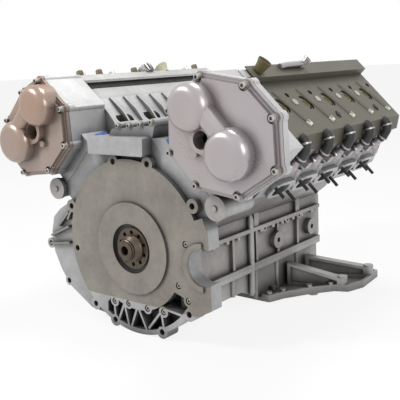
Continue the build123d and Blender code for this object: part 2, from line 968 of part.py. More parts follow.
def exhaust_studs(side):
    """Manifold studs in the exhaust flanges of a head."""
    studs = []
    for y in cylinder_places(side):
        for step in (-1, 1):
            place = Plane(
                origin=(port_flange_x, y + step * 36, head_bottom_z + 44 - step * 14),
                x_dir=(0, 1, 0),
                z_dir=(1, 0, 0),
            )
            studs.append(bank_place(extrude(place * Circle(3.5), amount=26), side))
    return studs


def both_exhaust_studs():
    """All manifold studs."""
    return Compound(children=exhaust_studs("left") + exhaust_studs("right"))


def camshaft(side, cam_x):
    """A camshaft with its journals, lobes and drive hub."""
    start = housing_y[side] - phaser_reach + 8
    end = tower_places(side)[-1] + tower_width / 2 + 2
    shaft = disc(cam_x, cam_height, cam_shaft_r, start, end)
    for y in tower_places(side):
        shaft = shaft + disc(cam_x, cam_height, cam_journal_r, y - 9, y + 9)
    for index, y in enumerate(cylinder_places(side)):
        turn = throw_angle(index) / 2 + (110 if cam_x < 0 else -110)
        nose = (cam_lift + 5) * sin(radians(turn)), (cam_lift + 5) * cos(radians(turn))
        for step in (-1, 1):
            middle = y + step * 19
            profile = make_hull(
                (Circle(cam_base_r) + Pos(*nose) * Circle(cam_base_r - 5)).edges()
            )
            lobe = prism(Pos(cam_x, cam_height) * profile, middle - lobe_width / 2, middle + lobe_width / 2)
            shaft = shaft + lobe
    return bank_place(shaft, side)


def cam_phaser(side, cam_x):
    """A chain wheel with its timing adjuster on a camshaft's drive end."""
    front = housing_y[side] - phaser_reach
    back = chain_y[side] + chain_width
    body = disc(cam_x, cam_height, phaser_r, front, front + phaser_width)
    neck = disc(cam_x, cam_height, cam_base_r + 5, front, back)
    wheel = Pos(cam_x, 0, cam_height) * chain_wheel(cam_teeth, chain_y[side])
    unit = body + neck + wheel
    unit = unit - disc(cam_x, cam_height, cam_shaft_r, front + 8, back)
    return bank_place(unit, side)


def wheel_radius(teeth):
    """Tip radius of a chain wheel."""
    return teeth * chain_pitch / (2 * pi) + tooth_tip


def chain_wheel(teeth, y_start):
    """A chain wheel with pointed teeth round the origin."""
    points = []
    for step in range(teeth):
        for share, drop in ((0.0, 0.0), (0.5, 2 * tooth_tip)):
            turn = radians(360 * (step + share) / teeth)
            radius = wheel_radius(teeth) - drop
            points.append((radius * sin(turn), radius * cos(turn)))
    return prism(Polygon(*points, align=None), y_start, y_start + chain_width)


def crank_wheel():
    """The crankshaft's chain wheel."""
    wheel = chain_wheel(crank_teeth, lower_chain_y)
    return wheel - disc(0, 0, sprocket_seat_r, lower_chain_y, lower_chain_y + chain_width)


def idler_wheel(side):
    """Double wheel that carries the drive from the lower to the bank's chain."""
    low_wheel = chain_wheel(idler_low_teeth, lower_chain_y)
    high_wheel = chain_wheel(idler_high_teeth, chain_y[side])
    hub = disc(0, 0, idler_hub_r, chain_y[side], lower_chain_y + chain_width)
    unit = low_wheel + high_wheel + hub
    unit = unit - disc(0, 0, idler_pin_r + running_clearance, chain_y[side], case_depth)
    x, z = idler_place(side)
    return Pos(x, 0, z) * unit


def idler_place(side):
    """Centre of a bank's double wheel."""
    return bank_point(0, idler_height, side)


def idler_pins():
    """Fixed pins that carry both double wheels on the block's face."""
    pins = []
    for side in ("left", "right"):
        x, z = idler_place(side)
        pins.append(disc(x, z, idler_pin_r, chain_y[side] - 2, case_depth))
    return Compound(children=pins)


def chain_loop(circles, y_start):
    """A closed chain drawn as a band round some wheels."""
    outer = [Pos(x, z) * Circle(radius + chain_gap + chain_thickness) for x, z, radius in circles]
    inner = [Pos(x, z) * Circle(radius + chain_gap) for x, z, radius in circles]
    outer_face = make_hull(joined(outer).edges())
    inner_face = make_hull(joined(inner).edges())
    return prism(outer_face - inner_face, y_start, y_start + chain_width)


def bank_chain(side):
    """The chain from a double wheel to both camshafts of a bank."""
    circles = [
        (0, idler_height, wheel_radius(idler_high_teeth)),
        (intake_cam_x, cam_height, wheel_radius(cam_teeth)),
        (exhaust_cam_x, cam_height, wheel_radius(cam_teeth)),
    ]
    return bank_place(chain_loop(circles, chain_y[side]), side)


def bank_chains():
    """The chains of both banks."""
    return Compound(children=[bank_chain("left"), bank_chain("right")])


def lower_chain():
    """The chain from the crankshaft to both double wheels."""
    right_x, right_z = idler_place("right")
    left_x, left_z = idler_place("left")
    circles = [
        (0, 0, wheel_radius(crank_teeth)),
        (right_x, right_z, wheel_radius(idler_low_teeth)),
        (left_x, left_z, wheel_radius(idler_low_teeth)),
    ]
    return chain_loop(circles, lower_chain_y)


# Covers
def dome(x, z, radius, y_front, y_back, rounding):
    """A round bulge with a soft front edge."""
    bar = disc(x, z, radius, y_front, y_back)
    return fillet(bar.faces().sort_by(Axis.Y)[0].edges(), rounding)


def cover_bulges(y_front, y_back, shrink):
    """The two round bulges over the camshaft adjusters, joined by a lower saddle."""
    rounding = bulge_rounding - shrink
    inner = dome(intake_cam_x - 2, cam_height, inner_bulge_r - shrink, y_front, y_back, rounding)
    outer = dome(exhaust_cam_x + 2, cam_height, outer_bulge_r - shrink, y_front, y_back, rounding)
    saddle_plane = Plane.XZ.offset(-y_front - saddle_drop)
    saddle = Pos(0, saddle_height) * SlotCenterToCenter(cam_spacing - 20, saddle_width - 2 * shrink)
    saddle = extrude(saddle_plane * saddle, amount=y_back - y_front - saddle_drop, dir=(0, 1, 0))
    saddle = fillet(saddle.faces().sort_by(Axis.Y)[0].edges(), saddle_rounding - shrink)
    return inner + outer + saddle


def timing_gaskets():
    """Edge gaskets between the timing covers and the chain housings."""
    gaskets = []
    for side in ("left", "right"):
        joint = housing_y[side] + cover_flange
        ring = housing_outline(side) - housing_hollow(side)
        for x, z in cover_bolts[side]:
            ring = ring - Pos(x, z) * Circle(cover_bolt_r + 0.3)
        gaskets.append(bank_place(prism(ring, joint - timing_gasket, joint), side))
    return Compound(children=gaskets)


def cover_face_outline(side, inset=0.0):
    """Outline of the raised body, scalloped round the bolts."""
    outline = housing_outline(side, -cover_inset - inset)
    for x, z in cover_bolts[side]:
        outline = outline - Pos(x, z) * Circle(cover_bolt_head_r + 3.5 + inset)
    return outline


def timing_cover(side):
    """Two-bulge moulded cover with a double lip, bolt bosses and the round port."""
    joint = housing_y[side] + cover_flange - timing_gasket
    lip = housing_y[side]
    face = lip + cover_flange - cover_depth
    cover = prism(housing_outline(side), lip, joint)
    cover = cover + prism(housing_outline(side, -cover_step), lip - 3, lip)
    cover = cover + prism(cover_face_outline(side), face, lip)
    cover = cover + cover_bulges(face - bulge_depth, joint, 0.0)
    pad = Pos(*cover_port) * port_pad_sketch()
    cover = cover + prism(pad, face - port_pad_height, face)
    for x, z in port_stubs:
        cover = cover + disc(x, z, 7, face - 8, face)
    room = prism(cover_face_outline(side, bulge_wall), face + bulge_wall, joint)
    cover = cover - room
    cover = cover - cover_bulges(face - bulge_depth + bulge_wall, joint, bulge_wall)
    port_stem = disc(*cover_port, cover_port_r + 5, face, joint)
    cover = cover + port_stem
    for x, z in cover_bolts[side]:
        cover = cover - disc(x, z, cover_bolt_r + 0.3, lip - 3, joint)
    cover = cover - disc(*cover_port, cover_port_r, face - port_pad_height, joint)
    way_in = disc(*cover_port, cover_port_r + port_relief, face - bulge_depth, face - port_pad_height)
    cover = cover - way_in
    for x, z in port_screw_places():
        cover = cover - disc(x, z, 3, face - port_pad_height, face - 4)
    return bank_place(cover, side)


def port_pad_sketch():
    """Rounded diamond pad of the cover's port flange, round its own centre."""
    pad = [Circle(cover_port_r + 8)]
    for x, z in port_screw_places():
        pad.append(Pos(x - cover_port[0], z - cover_port[1]) * Circle(9))
    return make_hull(joined(pad).edges())


def port_screw_places():
    """Places of the port flange's two screws in the bank's plane."""
    x, z = cover_port
    turn = radians(port_pad_turn)
    across = port_screw_reach * cos(turn)
    rise = port_screw_reach * sin(turn)
    return [(x - across, z + rise), (x + across, z - rise)]


def timing_cover_bolts():
    """Socket bolts round both timing covers."""
    bolts = []
    for side in ("left", "right"):
        seat = housing_y[side] - 3
        for x, z in cover_bolts[side]:
            head = disc(x, z, cover_bolt_head_r, seat - cover_bolt_head, seat)
            shank = disc(x, z, cover_bolt_r, seat, housing_y[side] + cover_flange)
            bolts.append(bank_place(head + shank, side))
    return Compound(children=bolts)


def slope_foot():
    """Outer corner where a cam cover starts to slope."""
    return cover_half_width + 4, head_top_z + 26


def cover_section(wall=0.0):
    """A cam cover's section, or its hollow when a wall is taken off."""
    foot_x, foot_z = slope_foot()
    low = head_top_z - (1 if wall else 0)
    return Polygon(
        (-cover_half_width + wall, low),
        (foot_x - wall, low),
        (foot_x - wall, foot_z - wall / 2),
        (cover_half_width - 12 - wall, cover_top_z - wall),
        (ridge_x() + ridge_width + 3, cover_top_z - wall),
        (ridge_x() + ridge_width - wall, ridge_top_z - wall),
        (ridge_x() + wall, ridge_top_z - wall),
        (ridge_x() + wall, cover_top_z - 2 * wall),
        (-cover_half_width + wall, cover_top_z - 12 - 2 * wall),
        align=None,
    )


def ridge_x():
    """Valley side of the raised ridge along a cam cover."""
    return -cover_half_width - ridge_overhang


def cam_cover(side):
    """Cast cam cover, hollow over the camshafts, with plug wells and hose stubs."""
    start = case_depth
    end = head_end_y(side) - 2
    cover = prism(cover_section(), start, end)
    cover = cover - prism(cover_section(cover_wall), start, end - cover_wall)
    for y in cylinder_places(side):
        well = Pos(0, y, 0) * upright(Circle(plug_well_r + 4), head_top_z, cover_top_z)
        cover = cover + well
        cover = cover - Pos(0, y, 0) * upright(Circle(plug_well_r), head_top_z - 1, cover_top_z + 1)
    for y in cylinder_places(side)[:-1]:
        seat = Pos(shield_seat_x, y + bore_pitch / 2) * Circle(shield_seat_r)
        cover = cover + upright(seat, cover_top_z - 1, cover_top_z + shield_gap)
    for y in stub_places(side):
        x = ridge_x() + ridge_width / 2
        cover = cover + Pos(x, y, 0) * upright(Circle(stub_r), ridge_top_z, ridge_top_z + stub_height)
    return bank_place(cover, side)


def stub_places(side):
    """Places of the vent stubs on a cam cover's ridge."""
    return [110.0, 205.0, 480.0] if side == "left" else []


def shield(side):
    """Pressed sheet shield over a cam cover: shelf, coil ribs and openings."""
    start = cylinder_places(side)[0] - 44
    end = head_end_y(side) + 2
    low = cover_top_z + shield_gap
    top = ridge_top_z + shield_gap
    step_x = ridge_x() + ridge_width + 5
    edge_x = ridge_x() - shelf_overhang
    foot_x, foot_z = slope_foot()
    near = shield_gap
    far = shield_gap + shield_sheet
    section = Polygon(
        (edge_x, top + shield_sheet),
        (step_x + shield_sheet, top + shield_sheet),
        (step_x + shield_sheet, low + shield_sheet),
        (cover_half_width - 10, low + shield_sheet),
        (foot_x + far * 0.83, foot_z + far * 0.56),
        (foot_x + near * 0.83, foot_z + near * 0.56),
        (cover_half_width - 11, low),
        (step_x, low),
        (step_x, top),
        (edge_x, top),
        align=None,
    )
    if side == "left":
        section = section - Pos(-300, 0) * Rectangle(2 * (308 + step_x), 2000)
    sheet = prism(section, start, end)
    for y in cylinder_places(side):
        opening = Pos(-5, y, 0) * Rot(0, 0, 25) * SlotCenterToCenter(16, 24)
        sheet = sheet - upright(opening, low - 1, low + shield_sheet + 1)
        sheet = sheet + shield_rib(y, low + shield_sheet - 1)
        sheet = sheet - upright(Pos(-30, y + bore_pitch / 2) * Circle(6), low - 1, top)
    return bank_place(sheet, side)


def shield_rib(y, z):
    """A half-round pressed rib beside a coil opening, with a flat end tab."""
    rib = Rot(0, 90, 0) * Cylinder(shield_rib_r, rib_length)
    rib = rib & (Pos(0, 0, shield_rib_r / 2) * Box(rib_length, 4 * shield_rib_r, shield_rib_r))
    tab = Pos(rib_length / 2, 0, 1) * Box(12, 12, 2)
    return Pos(2, y + rib_shift, z) * Rot(0, 0, rib_turn) * (rib + tab)


# Sump
def sump_section(inset=0.0):
    """Side view of the sump: shallow behind the face, deep under the far half."""
    top = -bedplate_depth
    return Polygon(
        (block_start_y + inset, top),
        (block_start_y + inset, sump_shallow_z + inset),
        (ramp_start_y + inset, sump_shallow_z + inset),
        (ramp_end_y + inset, sump_deep_z + inset),
        (block_end_y - inset, sump_deep_z + inset),
        (block_end_y - inset, top),
        align=None,
    )


def oil_sump():
    """Upper sump casting with a ramped floor, ribs and bolt bosses."""
    half = crankcase_half_width
    body = extrude(Plane.YZ.offset(-half) * sump_section(), amount=2 * half, dir=(1, 0, 0))
    inner_half = half - sump_wall
    room = extrude(
        Plane.YZ.offset(-inner_half) * sump_section(sump_wall), amount=2 * inner_half, dir=(1, 0, 0)
    )
    body = body - room
    lip_z = (-bedplate_depth - lip_height, -bedplate_depth)
    lip = box_between((-half - lip_reach, half + lip_reach), (block_start_y, block_end_y), lip_z)
    inside_y = (block_start_y + sump_wall, block_end_y - sump_wall)
    lip = lip - box_between((-inner_half, inner_half), inside_y, lip_z)
    body = body + lip
    for side in (-1, 1):
        for y in main_y[1:-1]:
            floor_z = sump_shallow_z if y < ramp_start_y else sump_deep_z
            post = upright(Pos(side * half, y) * Circle(6), floor_z, -bedplate_depth)
            body = body + post
    opening = box_between((-80, 80), (ramp_end_y + 14, block_end_y - 14), (sump_deep_z, sump_deep_z + sump_wall))
    return body - opening


def base_outline():
    """The base flange with its wing on the right."""
    return Polygon(
        (-126, ramp_end_y),
        (142, ramp_end_y),
        (156, ramp_end_y + 40),
        (194, 394),
        (232, 440),
        (262, 452),
        (278, 500),
        (270, 600),
        (236, 604),
        (200, block_end_y + 16),
        (-126, block_end_y + 16),
        align=None,
    )


def sump_base():
    """Base casting under the sump: a flange, a flared wing and two ribbed arms."""
    plate = fillet(base_outline().vertices(), 7)
    top = sump_deep_z
    base = upright(plate, top - base_plate, top)
    rim = plate - offset(plate, amount=-7)
    outer_only = Pos(290, 460) * Rectangle(340, 600)
    base = base + upright(rim & outer_only, top, top + 8)
    pan = Pos(0, (ramp_end_y + block_end_y) / 2) * Rectangle(190, block_end_y - ramp_end_y - 28)
    base = base - upright(pan, top - 4, top)
    for start, end, start_z, end_z in sump_arms():
        base = base + sump_arm(start, end, start_z, end_z)
    for x, y in base_boss_places():
        base = base + upright(Pos(x, y) * Circle(7), top - base_plate, top + 14)
    return base


def sump_arms():
    """Both arms: start, end, and the height of the top edge at each."""
    start_x = crankcase_half_width + 8
    return [
        ((start_x, 412), (244, 458), -118, -150),
        ((start_x, 500), (262, 560), -122, -146),
    ]


def sump_arm(start, end, start_z, end_z):
    """A tapering arm on the base's wing with a round boss at its end."""
    length = sqrt((end[0] - start[0]) ** 2 + (end[1] - start[1]) ** 2)
    along = Vector(end[0] - start[0], end[1] - start[1], 0)
    side_view = Plane(origin=(start[0], start[1], 0), x_dir=along, z_dir=along.cross(Vector(0, 0, 1)))
    outline = Polygon(
        (0, sump_deep_z),
        (length, sump_deep_z),
        (length, end_z),
        (0, start_z),
        align=None,
    )
    web = extrude(side_view * outline, amount=arm_width / 2, both=True)
    groove = Polygon(
        (8, sump_deep_z + 8),
        (length - 12, sump_deep_z + 8),
        (length - 12, end_z - 6),
        (8, start_z - 8),
        align=None,
    )
    cut = extrude(side_view * groove, amount=arm_width / 2, both=True)
    core = extrude(side_view * groove, amount=4, both=True)
    web = web - (cut - core)
    boss = upright(Pos(*end) * Circle(arm_width / 2), sump_deep_z, end_z + 4)
    return web + boss


def base_boss_places():
    """Bolt bosses round the base's rim."""
    return [(136, 302), (150, 338), (188, 396), (222, 438), (120, 344), (-121, 302), (-121, 440)]


base_foot = 5.0


def base_plugs():
    """Two drain plugs under the base, on which it stands level with the face."""
    low = sump_deep_z - base_plate - base_foot
    high = sump_deep_z - base_plate
    plugs = [upright(Pos(x, y) * Circle(12), low, high) for x, y in plug_places()]
    return Compound(children=plugs)


def plug_places():
    """Places of the plugs under the base."""
    return [(190, 410), (-90, 410), (0, 540)]


# Valley
def valley_cover():
    """Cast housing over the chain case, with its stepped top and end web."""
    front = Polygon(
        (-99, case_top_z),
        (58, case_top_z),
        (60, case_top_z + 38),
        (-97, case_top_z + 36),
        align=None,
    )
    shelf = prism(fillet(front.vertices(), 4), valley_front_y, body_start_y)
    room = prism(offset(front, amount=-6), valley_front_y + 6, body_start_y - 6)
    return shelf - room


def port_cap(side):
    """A blue blanking cap on the chain case's shoulder beside the head."""
    outline = fillet(Rectangle(cap_length, cap_width).vertices(), 12)
    cap = upright(Pos(cap_x, body_start_y + 20) * outline, deck_height, deck_height + 8)
    return bank_place(cap, side)


def port_caps():
    """Both blanking caps."""
    return Compound(children=[port_cap("left"), port_cap("right")])


def tensioner_cover(side):
    """Round plate with one screw on the chain housing's lower corner."""
    x, z = tensioner_place
    start = housing_y[side] + tensioner_seat - 8
    plate = disc(x, z, tensioner_r, start, start + 8)
    plate = plate + disc(x, z, 5, start - 3, start)
    return bank_place(plate, side)


def tensioner_covers():
    """Both round plates."""
    return Compound(children=[tensioner_cover("left"), tensioner_cover("right")])


def shield_clip(side, y):
    """A black half-round clip over the shield's lower edge."""
    outer = Pos(clip_x, clip_z) * Circle(16)
    inner = Pos(clip_x, clip_z) * Circle(9)
    band = (outer - inner) & (Pos(clip_x + 20, clip_z) * Rectangle(40, 60))
    return bank_place(prism(band, y - 6, y + 6), side)


clip_x = cover_half_width + 7
clip_z = cover_top_z - 14


def shield_clips():
    """All clips of both shields."""
    clips = []
    for side in ("left", "right"):
        for y in cylinder_places(side):
            clips.append(shield_clip(side, y - 30))
    return Compound(children=clips)


def filler_neck():
    """Oil filler neck with its funnel, on the ridge of the left cam cover."""
    x = ridge_x() + ridge_width / 2
    neck = upright(Circle(19) - Circle(14), ridge_top_z, ridge_top_z + 22)
    return bank_place(Pos(x, filler_y, 0) * neck, "left")


filler_y = 390.0


def breather():
    """Ribbed breather housing on the left cam cover's ridge."""
    x = ridge_x() + ridge_width / 2
    body = upright(Circle(17), ridge_top_z, ridge_top_z + 24)
    for step in range(8):
        fin = Rot(0, 0, 45 * step) * Pos(18, 0, ridge_top_z + 12) * Box(8, 3, 24)
        body = body + fin
    return bank_place(Pos(x, breather_y, 0) * body, "left")


breather_y = 325.0


def case_bolt_heads():
    """Socket bolts of the chain case: in its face and along its arched top edge."""
    heads = [disc(x, z, 6.5, 1, 9) for x, z in case_bolts]
    heads += [disc(x, z, 6, body_start_y - 6, body_start_y) for x, z in crown_bolts]
    return Compound(children=heads)


def right_idler():
    """Double wheel of the right bank."""
    return idler_wheel("right")


def left_idler():
    """Double wheel of the left bank."""
    return idler_wheel("left")


nodes = {
    "cylinder_block": cylinder_block,
    "bedplate": bedplate,
    "bedplate_bolts": bedplate_bolts,
    "main_bearing_shells": main_bearing_shells,
    "crankshaft": crankshaft,
    "vibration_damper": vibration_damper,
    "chain_case": chain_case,
    "rear_main_seal": rear_main_seal,
    "front_cover": front_cover,
    "front_cover_bolts": front_cover_bolts,
    "exhaust_studs": both_exhaust_studs,
    "timing_cover_bolts": timing_cover_bolts,
    "oil_sump": oil_sump,
    "sump_base": sump_base,
    "base_plugs": base_plugs,
    "valley_cover": valley_cover,
    "port_caps": port_caps,
    "tensioner_covers": tensioner_covers,
    "shield_clips": shield_clips,
    "filler_neck": filler_neck,
    "breather": breather,
    "case_bolts": case_bolt_heads,
    "crank_wheel": crank_wheel,
    "idler_wheel_right": right_idler,
    "idler_wheel_left": left_idler,
    "idler_pins": idler_pins,
    "lower_chain": lower_chain,
    "intake_valves": intake_valves,
    "exhaust_valves": exhaust_valves,
    "spark_plugs": spark_plugs,
    "head_gaskets": head_gaskets,
    "bank_chains": bank_chains,
    "timing_gaskets": timing_gaskets,
}
side_nodes = {
    "cylinder_head": cylinder_head,
    "timing_cover": timing_cover,
    "cam_cover": cam_cover,
    "shield": shield,
}


def main():
    """Build every node and write its file."""
    os.makedirs("parts", exist_ok=True)
    for name, build in nodes.items():
        export_step(build(), f"parts/{name}.step")
    for side in ("left", "right"):
        for name, build in side_nodes.items():
            export_step(build(side), f"parts/{name}_{side}.step")
        for kind, cam_x in (("intake", intake_cam_x), ("exhaust", exhaust_cam_x)):
            export_step(camshaft(side, cam_x), f"parts/{kind}_camshaft_{side}.step")
            export_step(cam_phaser(side, cam_x), f"parts/{kind}_phaser_{side}.step")
        for index in range(cylinders):
            export_step(piston(side, index), f"parts/piston_{side}_{index + 1}.step")


if __name__ == "__main__":
    main()
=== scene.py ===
"""Looks of a ninety-degree ten-cylinder V engine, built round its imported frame.

The frame is the crankshaft's: the origin is the centre of the flywheel flange, +Y runs
into the engine, +Z is up, and +X is to the right of someone who faces the flywheel end.
A bank is drawn as on its drawing: x across towards the exhaust side, y along the engine,
z up the cylinder, in millimetres. BankFrame leans it and turns it into metres.
"""

import logging
import math
from dataclasses import dataclass
from enum import Enum
from typing import Callable, Iterable, Sequence

import bmesh
import bpy
from mathutils import Matrix, Vector


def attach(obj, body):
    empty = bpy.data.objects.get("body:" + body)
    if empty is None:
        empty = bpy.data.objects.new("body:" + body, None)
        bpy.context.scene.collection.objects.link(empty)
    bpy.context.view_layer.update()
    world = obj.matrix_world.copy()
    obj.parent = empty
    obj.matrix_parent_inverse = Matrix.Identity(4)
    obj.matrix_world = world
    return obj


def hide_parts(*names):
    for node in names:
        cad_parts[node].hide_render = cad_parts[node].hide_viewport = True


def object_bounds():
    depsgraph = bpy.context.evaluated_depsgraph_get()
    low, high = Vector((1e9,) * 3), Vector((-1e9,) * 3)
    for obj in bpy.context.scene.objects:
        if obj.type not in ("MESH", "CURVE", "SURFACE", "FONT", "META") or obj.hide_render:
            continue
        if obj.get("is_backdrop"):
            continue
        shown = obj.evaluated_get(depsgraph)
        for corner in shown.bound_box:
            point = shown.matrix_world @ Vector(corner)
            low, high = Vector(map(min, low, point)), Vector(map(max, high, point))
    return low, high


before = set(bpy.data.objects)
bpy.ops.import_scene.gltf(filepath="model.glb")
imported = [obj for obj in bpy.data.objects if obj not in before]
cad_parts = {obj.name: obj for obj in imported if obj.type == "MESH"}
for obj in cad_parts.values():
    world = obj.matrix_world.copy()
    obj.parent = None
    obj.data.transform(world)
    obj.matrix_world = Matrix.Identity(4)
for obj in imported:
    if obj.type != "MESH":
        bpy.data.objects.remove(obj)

LOG = logging.getLogger("engine")
MM = 0.001
ENGINE = "engine"
CRANK = "crank"

Colour = tuple[float, float, float]
Point = tuple[float, float, float]
Pair = tuple[float, float]
Pairs = tuple[Pair, ...]
Place = Callable[[Vector], Vector]

# Directions of the engine and of a bank's drawing
TO_VIEWER = (0, -1, 0)
ALONG = (0, 1, 0)
OUTWARD = (1, 0, 0)
UP = (0, 0, 1)


def millimetres(point: Vector) -> Vector:
    """Turns a point of the engine's own frame from millimetres into metres."""
    return Vector(point) * MM


class Side(Enum):
    """One bank of the engine, as seen by someone who faces the flywheel end."""

    LEFT = "left"
    RIGHT = "right"


@dataclass(frozen=True)
class BankFrame:
    """Where a bank's drawing stands in the engine."""

    side: Side
    lean: float = math.radians(45)
    first_cylinder_left: float = 137.0
    bank_offset: float = 18.5
    pitch: float = 90.0
    cylinders: int = 5
    housing_start: float = -31.0
    left_setback: float = 9.0

    def place(self, point: Vector) -> Vector:
        """Takes a point of the bank's drawing to the engine, in metres."""
        x, y, z = point
        across = x * math.cos(self.lean) + z * math.sin(self.lean)
        height = z * math.cos(self.lean) - x * math.sin(self.lean)
        sign = 1 if self.side is Side.RIGHT else -1
        return Vector((sign * across, y, height)) * MM

    @property
    def first_cylinder(self) -> float:
        """The y of the bank's first cylinder."""
        return self.first_cylinder_left + (self.bank_offset if self.side is Side.RIGHT else 0)

    @property
    def cylinder_places(self) -> list[float]:
        """The y of each cylinder."""
        return [self.first_cylinder + self.pitch * step for step in range(self.cylinders)]

    @property
    def lip(self) -> float:
        """The y of the timing cover's lip."""
        return self.housing_start + (self.left_setback if self.side is Side.LEFT else 0)


# Shader graphs
class Value:
    """A shader socket that takes part in Python expressions."""

    def __init__(self, graph: "Graph", socket: bpy.types.NodeSocket) -> None:
        """Keeps the socket and its graph.

        Args:
            graph: The graph that the socket belongs to.
            socket: The output socket.
        """
        self.graph = graph
        self.socket = socket

    def _math(self, operation: str, first: object, second: object) -> "Value":
        """Adds a Math node.

        Args:
            operation: The node's operation.
            first: Its first value.
            second: Its second value.

        Returns:
            The node's output.
        """
        node = self.graph.node("ShaderNodeMath", {"operation": operation}, {0: first, 1: second})
        return Value(self.graph, node.outputs[0])

    def __add__(self, other: object) -> "Value":
        """Adds."""
        return self._math("ADD", self, other)

    __radd__ = __add__

    def __sub__(self, other: object) -> "Value":
        """Subtracts."""
        return self._math("SUBTRACT", self, other)

    def __rsub__(self, other: object) -> "Value":
        """Subtracts this from a number."""
        return self._math("SUBTRACT", other, self)

    def __mul__(self, other: object) -> "Value":
        """Multiplies."""
        return self._math("MULTIPLY", self, other)

    __rmul__ = __mul__

    def __pow__(self, other: object) -> "Value":
        """Raises to a power."""
        return self._math("POWER", self, other)

    def __gt__(self, other: object) -> "Value":
        """One where this is greater."""
        return self._math("GREATER_THAN", self, other)

    def clamped(self) -> "Value":
        """Kept between nothing and one."""
        return self._math("MAXIMUM", self._math("MINIMUM", self, 1.0), 0.0)


class Graph:
    """The node graph of one material."""

    def __init__(self, name: str) -> None:
        """Makes an empty material.

        Args:
            name: The material's name.
        """
        self.material = bpy.data.materials.new(name)
        self.material.use_nodes = True
        self.tree = self.material.node_tree
        self.tree.nodes.clear()
        self.output = self.node("ShaderNodeOutputMaterial", {}, {})

    def node(
        self, kind: str, settings: dict[str, object], inputs: dict[object, object]
    ) -> bpy.types.Node:
        """Adds one node.

        Args:
            kind: The node's type.
            settings: Its properties; "stops" sets a ramp's colours by place.
            inputs: A value or link for each named or numbered socket.

        Returns:
            The node.
        """
        made = self.tree.nodes.new(kind)
        for key, value in settings.items():
            if key == "stops":
                ramp = made.color_ramp
                while len(ramp.elements) < len(value):
                    ramp.elements.new(0.5)
                for element, (place, colour) in zip(ramp.elements, value):
                    element.position = place
                    element.color = (*colour, 1.0)
            else:
                setattr(made, key, value)
        for key, value in inputs.items():
            socket = made.inputs[key]
            if isinstance(value, Value):
                self.tree.links.new(value.socket, socket)
            elif isinstance(value, tuple) and len(value) == 3 and socket.type == "RGBA":
                socket.default_value = (*value, 1.0)
            else:
                socket.default_value = value
        return made

    def out(self, made: bpy.types.Node, socket: object = 0) -> Value:
        """One output of a node, ready for an expression."""
        return Value(self, made.outputs[socket])

    def place(self) -> Value:
        """The place on the object, in metres."""
        return self.out(self.node("ShaderNodeTexCoord", {}, {}), "Object")

    def noise(self, scale: float, detail: float = 3.0, roughness: float = 0.55) -> Value:
        """Even noise over the object.

        Args:
            scale: How many cells to the metre.
            detail: The number of octaves.
            roughness: How strong the finer octaves are.

        Returns:
            A value between nothing and one.
        """
        made = self.node(
            "ShaderNodeTexNoise",
            {},
            {"Vector": self.place(), "Scale": scale, "Detail": detail, "Roughness": roughness},
        )
        return self.out(made, 0)

    def ramp(self, value: Value, stops: Sequence[tuple[float, Colour]]) -> Value:
        """A colour picked along a ramp.

        Args:
            value: Where on the ramp.
            stops: Each stop's place and colour.

        Returns:
            The colour.
        """
        return self.out(self.node("ShaderNodeValToRGB", {"stops": list(stops)}, {0: value}))

    def mix(self, factor: object, first: object, second: object) -> Value:
        """A mix of two colours.

        Args:
            factor: The share of the second.
            first: The first colour.
            second: The second colour.

        Returns:
            The mixed colour.
        """
        made = self.node(
            "ShaderNodeMix", {"data_type": "RGBA"}, {0: factor, 6: first, 7: second}
        )
        return self.out(made, 2)

    def crevice(self, reach: float) -> Value:
        """How open a place is: one on open faces, less in corners and pockets.

        Args:
            reach: How far a wall counts, in metres.

        Returns:
            The openness.
        """
        made = self.node("ShaderNodeAmbientOcclusion", {"samples": 6}, {"Distance": reach})
        return self.out(made, "AO")

    def bump(self, height: Value, strength: float, depth: float) -> Value:
        """A bumped normal.

        Args:
            height: The height.
            strength: The bump's strength.
            depth: The bump's depth in metres.

        Returns:
            The normal.
        """
        made = self.node(
            "ShaderNodeBump", {}, {"Strength": strength, "Distance": depth, "Height": height}
        )
        return self.out(made, "Normal")

    def surface(self, **inputs: object) -> bpy.types.Material:
        """Ends the graph in one principled shader.

        Args:
            inputs: The shader's sockets, with spaces written as underscores.

        Returns:
            The finished material.
        """
        named = {key.replace("_", " "): value for key, value in inputs.items()}
        shader = self.node("ShaderNodeBsdfPrincipled", {}, named)
        self.tree.links.new(shader.outputs[0], self.output.inputs["Surface"])
        return self.material


# Finishes
@dataclass(frozen=True)
class Finish:
    """A finish that makes its material once."""

    name: str

    def material(self) -> bpy.types.Material:
        """The finish's material, made at its first use."""
        look = f"{self.name}_look"
        known = bpy.data.materials.get(look)
        return known if known else self.make(Graph(look))

    def make(self, graph: Graph) -> bpy.types.Material:
        """Builds the graph; each finish has its own."""
        raise NotImplementedError


